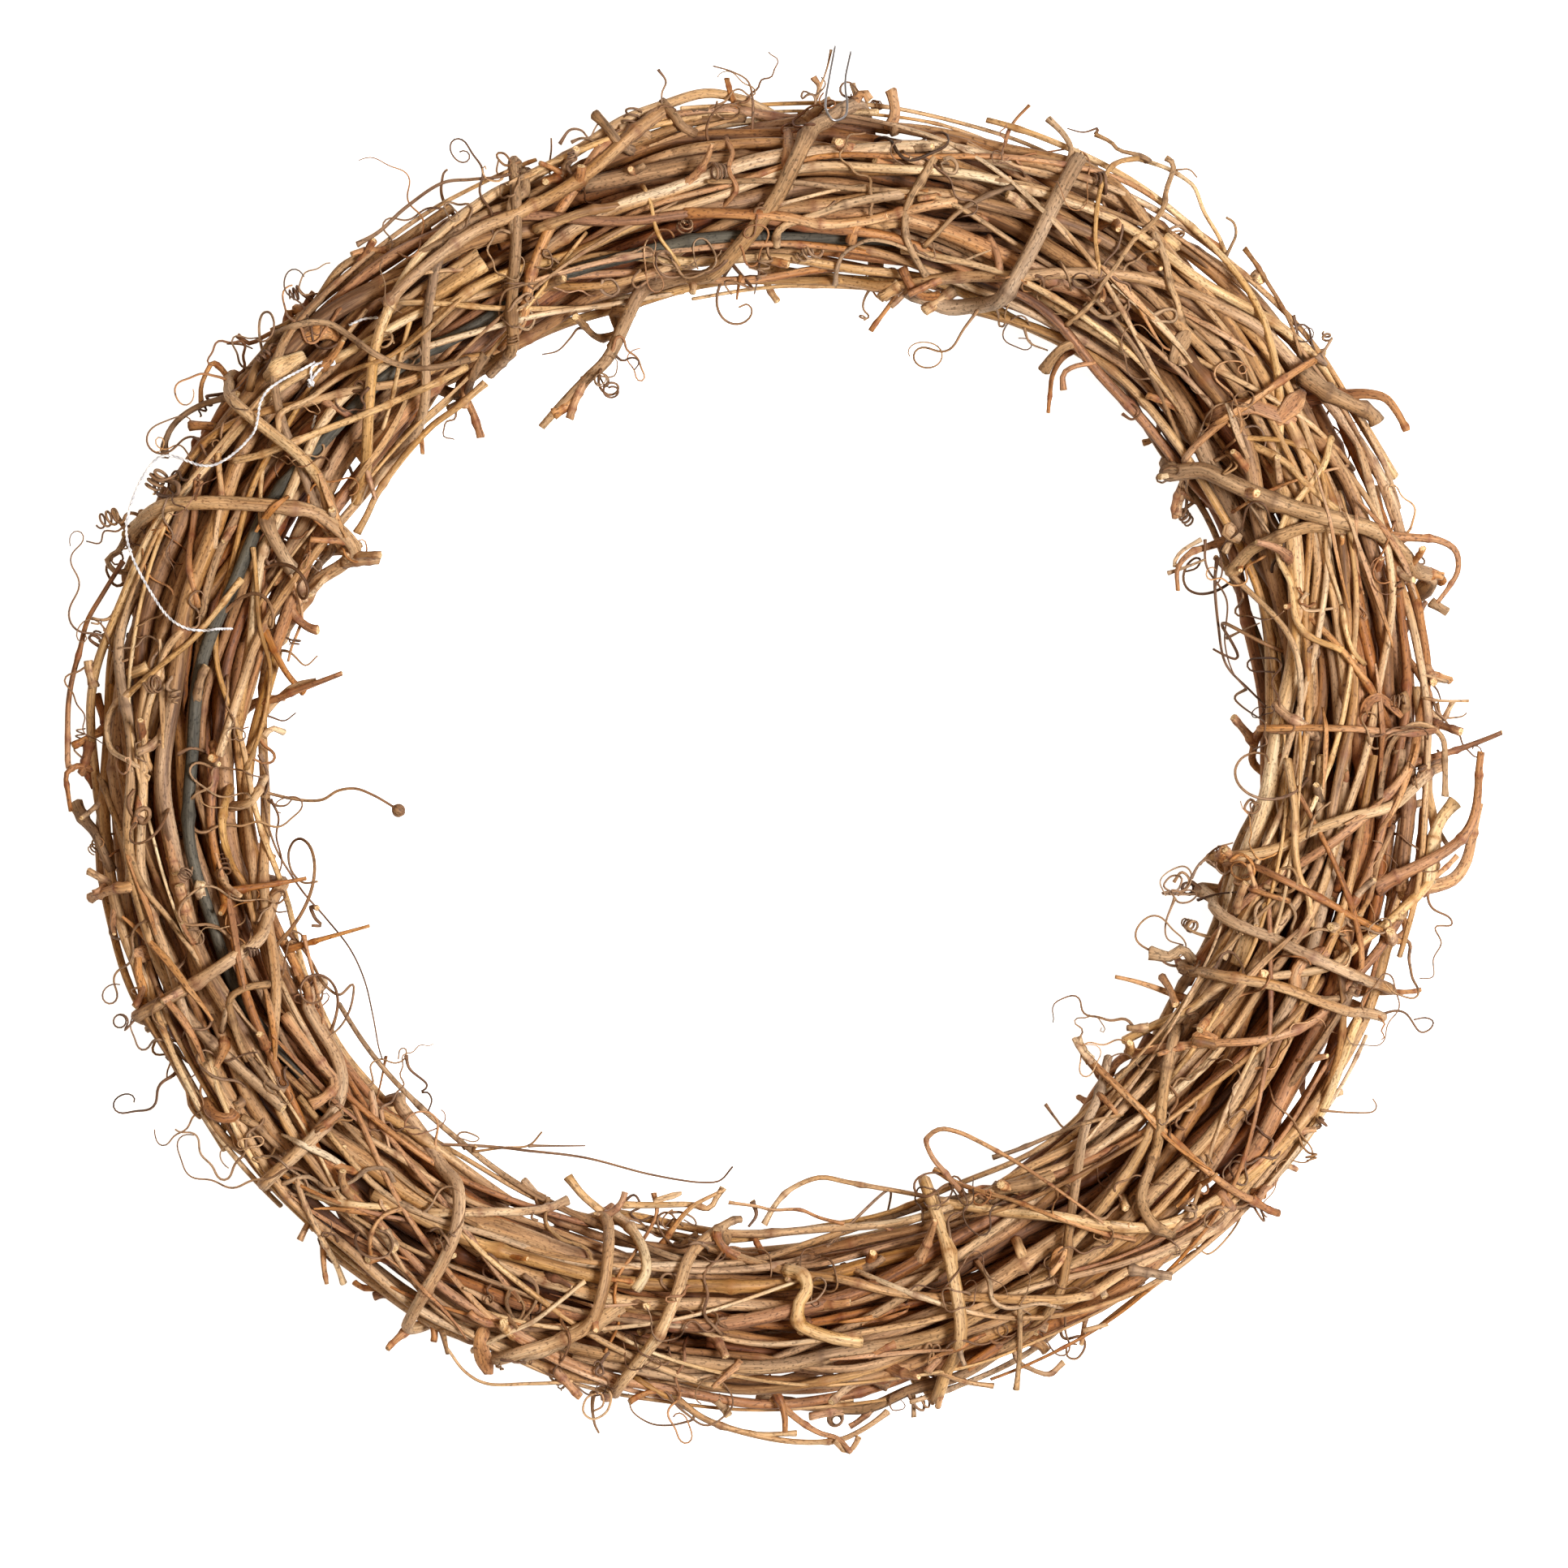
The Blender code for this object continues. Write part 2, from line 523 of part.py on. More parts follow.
def within_reach(path):
    flat = np.hypot(path[:, 0] - RING_CENTRE[0], path[:, 1] - RING_CENTRE[1])
    return bool(flat.min() > REACH_IN and flat.max() < REACH_OUT
                and path[:, 2].min() > REACH_DOWN and path[:, 2].max() < REACH_UP)


def shoot_path(shape, root, forward, sideways, rng):
    # A shoot that bends evenly and then curls ever tighter, drifting out of its plane
    length = rng.uniform(*shape["length"]) * MM
    bend, curl = rng.uniform(*shape["bend"]), rng.uniform(*shape["curl"]) * rng.choice([-1, 1])
    s = np.linspace(0, 1, SHOOT_SAMPLES)
    heading = bend * s + curl * s ** 2.2
    drift = SHOOT_DRIFT * np.ones(SHOOT_SAMPLES)
    flow = np.stack([np.cos(heading), np.sin(heading), drift], 1) * length / SHOOT_SAMPLES
    track = np.concatenate([[[0, 0, 0]], np.cumsum(flow[1:], 0)])
    pick = np.linspace(0, 1, shape["points"]) ** 0.8
    track = np.stack([np.interp(pick, s, column) for column in track.T], 1)
    axes = np.stack([forward, sideways, np.cross(forward, sideways)])
    width = rng.uniform(*shape["width"]) * MM / 2
    return root + track @ axes, np.linspace(width, TIP_SHARE * width, len(track))


def grow(canes, shape, every, crowd, label):
    # Draws shoots for every so manieth cane until one of them stands clear of everything else
    shoots = []
    for owner, cane in enumerate(canes[::every]):
        owner *= every
        rng = np.random.default_rng([SEED, owner, len(label)])
        line = beads(cane["points"], cane["radius"])
        for _ in range(SHOOT_TRIES):
            k = rng.integers(6, len(line) - 6)
            root = line[k, :3]
            ahead = unit(line[k + 4, :3] - line[k - 4, :3]) * rng.choice([-1, 1])
            theta = math.atan2(root[1] - RING_CENTRE[1], root[0] - RING_CENTRE[0])
            across = math.hypot(*(root[:2] - RING_CENTRE)) - ring_radius(theta)
            away = across / half_width(theta) ** 2 * outward(np.float64(theta))
            away[2] = (root[2] - RING_LIFT) / HALF_HEIGHT ** 2
            away = unit(away)
            forward = unit(away * rng.uniform(0.5, 1.0) + ahead * rng.uniform(0.5, 1.1))
            sideways = unit(np.cross(forward, rng.normal(size=3)))
            path, radii = shoot_path(shape, root, forward, sideways, rng)
            others = bare_root(crowd, owner, root, line[k, 3] + ROOT_ROOM)
            if not within_reach(path) or not clears(path, radii, others):
                continue
            remember(crowd, path, radii)
            shoots.append({"owner": owner, "name": f"{label}_{owner}", "points": path,
                           "radii": radii, "sides": shape["sides"]})
            break
    print(f"{len(shoots)} of {label} placed on {len(canes[::every])} canes")
    return shoots


def place_shoots(canes, crowd):
    # The shoots given by points start at the axis of the nearest cane that lets them pass
    shoots = []
    for name, shape in SHOOTS.items():
        points = np.array(shape["points"]) * MM + np.array([*RING_CENTRE, 0])
        width = shape["width"] * MM / 2
        found = None
        for lift in SHOOT_LIFTS:
            raised = points + np.array([0, 0, lift * MM])
            gap = np.linalg.norm(crowd["balls"][:, :3] - raised[0], axis=1)
            for owner in range(len(canes)):
                mine = np.nonzero(crowd["owners"] == owner)[0]
                k = mine[gap[mine].argmin()]
                if gap[k] > ROOT_SEARCH:
                    continue
                root = crowd["balls"][k, :3]
                path = smooth_line(np.concatenate([[root], raised[1:]]), SHOOT_STEP)
                radii = np.linspace(width, TIP_SHARE * width, len(path))
                room = crowd["balls"][k, 3] + width + ROOT_ROOM
                others = bare_root(crowd, owner, root, room)
                if clears(path, radii, others) and (found is None or gap[k] < found[0]):
                    found = (gap[k], owner, path, radii)
            if found:
                break
        if not found:
            print(f"{name} finds no clear way")
            continue
        _, owner, path, radii = found
        if "knob" in shape:
            radii[-2:] = shape["knob"] * MM / 2
        remember(crowd, path, radii)
        shoots.append({"owner": owner, "name": name, "points": path, "radii": radii,
                       "sides": 4 if width > THIN_SHOOT / 2 else 3})
    return shoots


def drape(route, balls):
    # A thread rests on top of whatever lies under its route
    radius = THREAD_WIDTH / 2
    flat = smooth_line(np.array(route) * MM + np.array(RING_CENTRE), DRAPE_STEP)
    up = np.full(len(flat), RING_LIFT)
    for k, spot in enumerate(flat):
        off = np.linalg.norm(balls[:, :2] - spot, axis=1)
        slack = (balls[:, 3] + radius + GAP) ** 2 - off ** 2
        met = slack > 0
        up[k] = max(up[k], (balls[met, 2] + np.sqrt(slack[met])).max(initial=0))
    for _ in range(SLACK_ROUNDS):
        up[1:-1] = np.maximum(up[1:-1], (up[:-2] + up[2:]) / 2)
    points = np.column_stack([flat, up])
    low, high = points.min(0) - NEAR, points.max(0) + NEAR
    near = balls[((balls[:, :3] > low) & (balls[:, :3] < high)).all(1)]
    lift_off(points, np.array([[0, 0, 1.0]]), radius, near)
    return points, np.full(len(points), radius)


def join(cane, shoots):
    # One Boolean union of the cane with all that grows from it
    if not shoots:
        return
    group = bpy.data.collections.new(cane.name + "_shoots")
    for shoot in shoots:
        group.objects.link(shoot)
    union = cane.modifiers.new("Union", "BOOLEAN")
    union.operation = "UNION"
    union.operand_type = "COLLECTION"
    union.collection = group
    union.solver = "MANIFOLD"
    graph = bpy.context.evaluated_depsgraph_get()
    joined = bpy.data.meshes.new_from_object(cane.evaluated_get(graph))
    cane.modifiers.remove(union)
    cane.data = joined
    for shoot in shoots:
        bpy.data.objects.remove(shoot)
    bpy.data.collections.remove(group)


def cut_flat(node):
    # Takes off what reaches below the ground, which leaves a flat spot to rest on
    bm = bmesh.new()
    bm.from_mesh(node.data)
    everything = bm.verts[:] + bm.edges[:] + bm.faces[:]
    bmesh.ops.bisect_plane(bm, geom=everything, plane_co=(0, 0, 0), plane_no=(0, 0, -1),
                           clear_outer=True)
    rim = [edge for edge in bm.edges if edge.is_boundary]
    bmesh.ops.holes_fill(bm, edges=rim)
    bmesh.ops.recalc_face_normals(bm, faces=bm.faces)
    bm.to_mesh(node.data)
    bm.free()


def main():
    for old in list(bpy.data.objects):
        bpy.data.objects.remove(old)
    barks = {name: make_bark(name) for name in BARK}
    canes = lay_out_canes()
    settle(canes)
    crowd = {"balls": np.zeros((0, 4)), "owners": np.zeros(0, int)}
    for owner, cane in enumerate(canes):
        remember(crowd, cane["points"], cane["radius"], owner)
    rng = np.random.default_rng(SEED + 1)
    for number in range(1, STRAYS + 1):
        stray = {"diameter": rng.uniform(*STRAY["diameter"]) * MM, "knots": stray_knots(rng)}
        points, radii = lay_binder(stray, crowd["balls"], STRAY_STEP)
        bark = barks[STRAY_BARK[number % len(STRAY_BARK)]]
        make_tube(f"stray_vine_{number}", points, radii, STRAY["sides"], bark)
        remember(crowd, points, radii)
    for name, binder in BINDERS.items():
        points, radii = lay_binder(binder, crowd["balls"], BINDER_STEP)
        bark = barks[BINDER_BARK.get(name, "vine_tan")]
        node = make_tube(name, points, radii, binder.get("sides", BINDER_SIDES), bark)
        if "foot" in binder:
            cut_flat(node)
        remember(crowd, points, radii)
    shoots = place_shoots(canes, crowd)
    shoots += grow(canes, STUB, STUB_EVERY, crowd, "stub")
    shoots += grow(canes, TENDRIL, TENDRIL_EVERY, crowd, "tendril")
    make_tube("white_thread", *drape(THREAD_ROUTE, crowd["balls"]), 3, barks["cotton"])
    make_tube("hanging_wire", *drape(WIRE_ROUTE, crowd["balls"]), 3, barks["steel_wire"])
    for owner, cane in enumerate(canes):
        name = LED_BARK.get(cane["name"], CANE_BARK[owner % len(CANE_BARK)])
        bark = barks[name]
        node = make_tube(cane["name"], cane["points"], cane["radius"], cane["sides"], bark)
        grown = [make_tube(shoot["name"], shoot["points"], shoot["radii"], shoot["sides"], bark)
                 for shoot in shoots if shoot["owner"] == owner]
        join(node, grown)
    for guide in [item for item in bpy.data.objects if item.type == "CURVE"]:
        bpy.data.objects.remove(guide)


main()
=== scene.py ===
# A wreath of dried vines, lying flat with its front up and seen from straight above
import math

import bpy
import numpy as np
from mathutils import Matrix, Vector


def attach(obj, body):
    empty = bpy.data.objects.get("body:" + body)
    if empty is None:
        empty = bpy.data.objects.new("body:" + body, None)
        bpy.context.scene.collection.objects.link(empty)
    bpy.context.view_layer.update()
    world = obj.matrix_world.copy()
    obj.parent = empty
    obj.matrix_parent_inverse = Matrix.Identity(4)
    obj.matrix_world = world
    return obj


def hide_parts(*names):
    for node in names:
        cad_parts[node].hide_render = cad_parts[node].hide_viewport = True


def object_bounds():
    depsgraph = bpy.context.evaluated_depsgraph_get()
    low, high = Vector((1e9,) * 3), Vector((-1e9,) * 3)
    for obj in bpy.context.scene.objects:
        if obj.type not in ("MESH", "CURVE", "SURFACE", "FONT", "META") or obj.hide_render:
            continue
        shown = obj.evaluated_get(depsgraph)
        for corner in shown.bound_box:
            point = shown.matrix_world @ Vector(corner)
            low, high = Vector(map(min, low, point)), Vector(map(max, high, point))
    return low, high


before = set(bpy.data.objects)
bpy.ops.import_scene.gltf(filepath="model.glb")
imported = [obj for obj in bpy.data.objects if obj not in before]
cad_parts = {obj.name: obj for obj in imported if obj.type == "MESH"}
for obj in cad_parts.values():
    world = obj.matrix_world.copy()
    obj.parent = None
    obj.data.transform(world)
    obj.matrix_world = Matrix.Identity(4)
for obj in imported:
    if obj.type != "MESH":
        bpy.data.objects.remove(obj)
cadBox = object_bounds()
mm = 0.001
deg = math.pi / 180
wholeTurn = 6.28  # radians, for random phases
seed = 7
print("frame loaded:", len(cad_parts), "nodes")


# --- colours and shader nodes
def linear(hexColour):
    # sRGB hex to the linear values that a shader takes
    parts = [int(hexColour[k:k + 2], 16) / 255 for k in (1, 3, 5)]
    return [c / 12.92 if c <= 0.04045 else ((c + 0.055) / 1.055) ** 2.4 for c in parts] + [1]


def addNode(tree, kind, settings=None, links=None):
    # A shader node: a setting is a property of the node or the value of one of its inputs
    node = tree.nodes.new("ShaderNode" + kind)
    for key, value in (settings or {}).items():
        if key == "stops":
            while len(node.color_ramp.elements) < len(value):
                node.color_ramp.elements.new(1)
            for stop, (at, colour) in zip(node.color_ramp.elements, value):
                stop.position = at
                stop.color = linear(colour)
        elif isinstance(key, str) and hasattr(node, key):
            setattr(node, key, value)
        else:
            node.inputs[key].default_value = value
    for key, source in (links or {}).items():
        tree.links.new(source, node.inputs[key])
    return node


def newMaterial(name):
    made = bpy.data.materials.new(name)
    made.use_nodes = True
    made.node_tree.nodes.clear()
    return made, made.node_tree


def addShader(tree, values, links):
    shader = addNode(tree, "BsdfPrincipled", values, links)
    addNode(tree, "OutputMaterial", links={"Surface": shader.outputs[0]})


# --- camera, floor and light
shot = {
    "centre": (0.5 * mm, -8.1 * mm),  # the middle of the picture, in the wreath's own frame
    "across": 398.4 * mm,  # what the picture's width shows at the wreath's mid height
    "level": 26 * mm,
    "height": 1.7, "sensor": 36, "clipEnd": 20,
}
studio = {
    "keyPlace": (0.9, -0.08, 1.6), "keySize": 0.6, "keyPower": 47,
    "fillPlace": (-0.4, 0.3, 2.2), "fillSize": 1.2, "fillPower": 10,
    "fillColour": "#FFDEBA", "worldColour": "#FFDCB6", "worldStrength": 0.2,
    "floorColour": "#F7F6F4", "floorSize": 6.0, "floorRoughness": 0.9,
    "floorGlow": 1.0,  # lifts the shadow on the floor for the camera, and lights nothing
}


def deselectAll():
    if bpy.context.object and bpy.context.object.mode != "OBJECT":
        bpy.ops.object.mode_set(mode="OBJECT")
    bpy.ops.object.select_all(action="DESELECT")


def addCamera():
    data = bpy.data.cameras.new("overhead")
    data.lens = shot["sensor"] * (shot["height"] - shot["level"]) / shot["across"]
    data.sensor_width = shot["sensor"]
    data.clip_end = shot["clipEnd"]
    camera = bpy.data.objects.new("overhead", data)
    camera.location = (*shot["centre"], shot["height"])
    bpy.context.scene.collection.objects.link(camera)
    bpy.context.scene.camera = camera


def addSoftbox(name, place, size, power, colour="#FFFFFF"):
    bpy.ops.object.light_add(type="AREA", location=place)
    lamp = bpy.context.object
    lamp.name = name
    lamp.data.shape = "DISK"
    lamp.data.size = size
    lamp.data.energy = power
    lamp.data.color = linear(colour)[:3]
    aim = -np.array(place) / np.linalg.norm(place)
    lamp.rotation_euler = (math.acos(-aim[2]), 0, math.atan2(aim[1], aim[0]) - math.pi / 2)


def addStudio():
    deselectAll()
    addSoftbox("key", studio["keyPlace"], studio["keySize"], studio["keyPower"])
    addSoftbox("fill", studio["fillPlace"], studio["fillSize"], studio["fillPower"],
               studio["fillColour"])
    world = bpy.data.worlds.new("white room")
    world.use_nodes = True
    backdrop = world.node_tree.nodes["Background"]
    backdrop.inputs["Color"].default_value = linear(studio["worldColour"])
    backdrop.inputs["Strength"].default_value = studio["worldStrength"]
    bpy.context.scene.world = world
    bpy.context.scene.view_settings.view_transform = "Standard"
    deselectAll()
    bpy.ops.mesh.primitive_plane_add(size=studio["floorSize"])
    floor = bpy.context.object
    floor.name = "paper_floor"
    paper, tree = newMaterial("white paper")  # matt card, lit almost to white
    seen = addNode(tree, "LightPath").outputs["Is Camera Ray"]
    glow = addNode(tree, "Math", {"operation": "MULTIPLY", 1: studio["floorGlow"]}, {0: seen})
    white = linear(studio["floorColour"])
    addShader(tree, {"Base Color": white, "Emission Color": white,
                     "Roughness": studio["floorRoughness"]}, {"Emission Strength": glow.outputs[0]})
    floor.data.materials.append(paper)


addCamera()
addStudio()
print("camera, light and floor ready")


# --- materials
# Dried grapevine: thin fibrous bark over pale wood, dull, streaked along the vine, with darker
# joints. "Peel" is the lighter inner bark where the outer has rubbed off
bark = {
    "vine_tan": {"dark": "#6A482D", "body": "#B28658", "light": "#CFA87B", "peel": "#E6CBA4",
                 "speck": "#5A3A22", "joint": "#7E5030", "roughness": (0.5, 0.75)},
    "vine_golden": {"dark": "#80562D", "body": "#C2965F", "light": "#DCB582", "peel": "#EED6AC",
                    "speck": "#6E4B28", "joint": "#96683A", "roughness": (0.45, 0.7)},
    "vine_grey": {"dark": "#553F2B", "body": "#987450", "light": "#B8946D", "peel": "#D4B28A",
                  "speck": "#44331F", "joint": "#674A32", "roughness": (0.6, 0.85)},
    "vine_dark": {"dark": "#1E1C18", "body": "#37342D", "light": "#4B473E", "peel": "#676154",
                  "speck": "#1D1C17", "joint": "#3A352B", "roughness": (0.6, 0.82)},
    "vine_red": {"dark": "#5E371E", "body": "#A56E41", "light": "#C48F5D", "peel": "#DDB485",
                 "speck": "#4A2817", "joint": "#7E4527", "roughness": (0.5, 0.72)},
    "tendril_brown": {"dark": "#46301F", "body": "#7A563C", "light": "#9C7755", "peel": "#B8946E",
                      "speck": "#35241A", "joint": "#5F412C", "roughness": (0.5, 0.75)},
}
barkGrain = {
    "noises": {  # how long and how wide their grains are, their detail and their roughness
        "streak": (9 * mm, 0.45 * mm, 3.0, 0.6),  # fibres of the bark
        "patch": (34 * mm, 3.2 * mm, 4.0, 0.65),  # where the outer bark has rubbed off
        "speck": (1.0 * mm, 0.5 * mm, 1.0, 0.5),  # pores, a little coarse so that they show
        "warmth": (60 * mm, 9 * mm, 2.0, 0.5),  # bleached in one place, still warm in the next
    },
    "patchPull": (1.5, -0.62), "tonePull": 0.75,  # share of the patches and of a vine's own tone
    "stops": {"dark": 0.08, "body": 0.38, "light": 0.66, "peel": 0.95},
    "fibre": (0.54, 1.16), "pores": (0.0, 0.7), "warmth": (0.84, 1.1),
    "paintedShadeColour": "#B4865A",  # painted shade: the darker, warmer colour multiplied into the bark deep inside the bundle
    "bump": 0.8, "bumpDepth": 0.16 * mm, "specular": 0.35,  # dry bark has hardly any gloss
}


def grainNoise(tree, long, wide, detail, roughness):
    # Noise along a vine, in its straightened coordinates, by the length and width of its grains
    grain = addNode(tree, "Attribute", {"attribute_name": "grain"}).outputs["Vector"]
    place = addNode(tree, "VectorMath", {"operation": "MULTIPLY",
                    1: (1 / long, 1 / wide, 1 / wide)}, {0: grain}).outputs[0]
    return addNode(tree, "TexNoise", {"Scale": 1.0, "Detail": detail, "Roughness": roughness},
                   {"Vector": place}).outputs[0]


def spread(tree, source, start, end, low, high):
    # The source's values from start to end, as values from low to high
    return addNode(tree, "MapRange", {1: start, 2: end, 3: low, 4: high}, {0: source}).outputs[0]


def makeBark(name):
    look, g = bark[name], barkGrain
    made, tree = newMaterial(name.replace("_", " ") + " bark")
    tone, joint, depth = (addNode(tree, "Attribute", {"attribute_name": label}).outputs["Fac"]
                          for label in ("tone", "joint", "depth"))
    noise = {part: grainNoise(tree, *grains) for part, grains in g["noises"].items()}
    pull, start = g["patchPull"]
    shade = addNode(tree, "Math", {"operation": "MULTIPLY_ADD", 1: pull, 2: start},
                    {0: noise["patch"]}).outputs[0]
    shade = addNode(tree, "Math", {"operation": "MULTIPLY_ADD", 1: g["tonePull"]},
                    {0: tone, 2: shade}).outputs[0]
    stops = [(at, look[part]) for part, at in g["stops"].items()]
    colour = addNode(tree, "ValToRGB", {"stops": stops}, {0: shade}).outputs[0]
    fibre = spread(tree, noise["streak"], 0.3, 0.68, *g["fibre"])
    colour = addNode(tree, "VectorMath", {"operation": "MULTIPLY"},
                     {0: colour, 1: fibre}).outputs[0]
    pores = spread(tree, noise["speck"], 0.55, 0.70, *g["pores"])
    for share, part in ((pores, "speck"), (joint, "joint")):
        colour = addNode(tree, "Mix", {"data_type": "RGBA", 7: linear(look[part])},
                         {0: share, 6: colour}).outputs[2]
    warmth = spread(tree, noise["warmth"], 0.32, 0.68, *g["warmth"])
    colour = addNode(tree, "HueSaturation", None,
                     {"Saturation": warmth, "Color": colour}).outputs[0]
    # Painted shade: the bark is darkened towards this colour by how deep inside the bundle it lies
    # (the depth attribute)
    paintedShade = addNode(tree, "Mix", {"data_type": "RGBA", 6: (1, 1, 1, 1),
                  7: linear(g["paintedShadeColour"])}, {0: depth}).outputs[2]
    colour = addNode(tree, "VectorMath", {"operation": "MULTIPLY"}, {0: colour, 1: paintedShade}).outputs[0]
    rough = spread(tree, noise["streak"], 0.3, 0.7, *look["roughness"][::-1])
    bump = addNode(tree, "Bump", {"Strength": g["bump"], "Distance": g["bumpDepth"]},
                   {"Height": noise["streak"]}).outputs[0]
    addShader(tree, {"Specular IOR Level": g["specular"]},
              {"Base Color": colour, "Roughness": rough, "Normal": bump})
    return made


# Cut vine: sawn or snapped end grain, pale and open, darker at the pith
cutWood = {"wood": "#E3C594", "pith": "#9A6F41", "poreSize": 0.5 * mm, "roughness": 0.85}


def makeCutWood():
    made, tree = newMaterial("cut vine wood")
    place = addNode(tree, "TexCoord").outputs["Object"]
    pores = addNode(tree, "TexNoise", {"Scale": 1 / cutWood["poreSize"], "Detail": 2.0},
                    {"Vector": place}).outputs[0]
    stops = ((0.35, cutWood["pith"]), (0.55, cutWood["wood"]))
    colour = addNode(tree, "ValToRGB", {"stops": stops}, {0: pores}).outputs[0]
    addShader(tree, {"Roughness": cutWood["roughness"]}, {"Base Color": colour})
    return made


# Spun cotton: two plies of matt white fibre, whose twist shows as slanting ridges
cotton = {"colour": "#EFEFF2", "shade": "#C9CBD2", "twist": 1.6 * mm, "ridge": 0.12 * mm,
          "roughness": 0.9, "sheen": 0.3}
# Drawn steel wire: bare, slightly dulled, a metal's own reflections, faint marks along it
steel = {"colour": "#B9BAC0", "roughness": (0.32, 0.5), "marks": (12 * mm, 0.12 * mm, 2.0, 0.5)}


def makeCotton():
    made, tree = newMaterial("spun cotton")
    grain = addNode(tree, "Attribute", {"attribute_name": "grain"}).outputs["Vector"]
    ply = addNode(tree, "TexWave", {
        "Scale": 1 / cotton["twist"] / wholeTurn, "Distortion": 0.5, "wave_type": "BANDS",
        "bands_direction": "DIAGONAL"}, {"Vector": grain}).outputs[1]
    stops = ((0.2, cotton["shade"]), (0.7, cotton["colour"]))
    colour = addNode(tree, "ValToRGB", {"stops": stops}, {0: ply}).outputs[0]
    bump = addNode(tree, "Bump", {"Distance": cotton["ridge"]}, {"Height": ply}).outputs[0]
    addShader(tree, {"Roughness": cotton["roughness"], "Sheen Weight": cotton["sheen"]},
              {"Base Color": colour, "Normal": bump})
    return made


def makeSteel():
    made, tree = newMaterial("drawn steel wire")
    rough = spread(tree, grainNoise(tree, *steel["marks"]), 0.3, 0.7, *steel["roughness"])
    addShader(tree, {"Base Color": linear(steel["colour"]), "Metallic": 1.0}, {"Roughness": rough})
    return made


finishes = {name: makeBark(name) for name in bark}
finishes["cut_wood"] = makeCutWood()
finishes["cotton"] = makeCotton()
finishes["steel_wire"] = makeSteel()
print("materials made:", len(finishes))


# --- the ring and its canes, laid out as the CAD lays them
ring = {
    "radius": 146 * mm, "ovalRise": 3.7 * mm, "ovalTurn": 25 * deg,
    "eggRise": 1.8 * mm, "eggTurn": 54 * deg,
    "halfWidth": 25.0 * mm, "widthRise": 1.5 * mm, "widthTurn": -14 * deg,
    "halfHeight": 18.5 * mm, "centre": (-3.5 * mm, -1.0 * mm), "lift": 26.0 * mm,
    "stations": 30, "gap": 0.35 * mm, "rounds": 700,
}
# How a cane wanders through the bundle's oval section, and how the canes push each other apart
roaming = {
    "lengths": (0.88, 1.12), "twist": (0.7, 1.7), "sways": ((1, 0.3, 0.6), (2, 0.15, 0.4)),
    "depths": (0.08, 1.0), "dip": 0.25, "dipPace": 1.37, "innermost": 0.05,
    "hold": 0.02, "ledHold": 0.35,
}
pushing = {
    "nearby": 16 * mm, "renewed": 20, "fade": 0.6, "bending": 0.12, "stiffness": 0.04,
    "stiffShare": 0.9, "push": 0.35,
}
caneKinds = (
    {"name": "thick_cane", "count": 8, "diameter": 5.4 * mm, "turns": 0.98},
    {"name": "cane", "count": 18, "diameter": 4.0 * mm, "turns": 1.02},
    {"name": "slim_cane", "count": 9, "diameter": 2.9 * mm, "turns": 1.05},
)
ledCanes = {
    "thick_cane_1": {"angles": (150, 222), "across": (1 * mm, 6 * mm)},
    "cane_1": {"angles": (72, 200), "across": (-15 * mm, -3 * mm)},
}
strays = {
    "count": 12, "diameter": (2.1, 3.1), "span": (38, 75), "sweep": (150, 260), "swing": 22,
    "knots": 5, "step": 12 * mm,
}
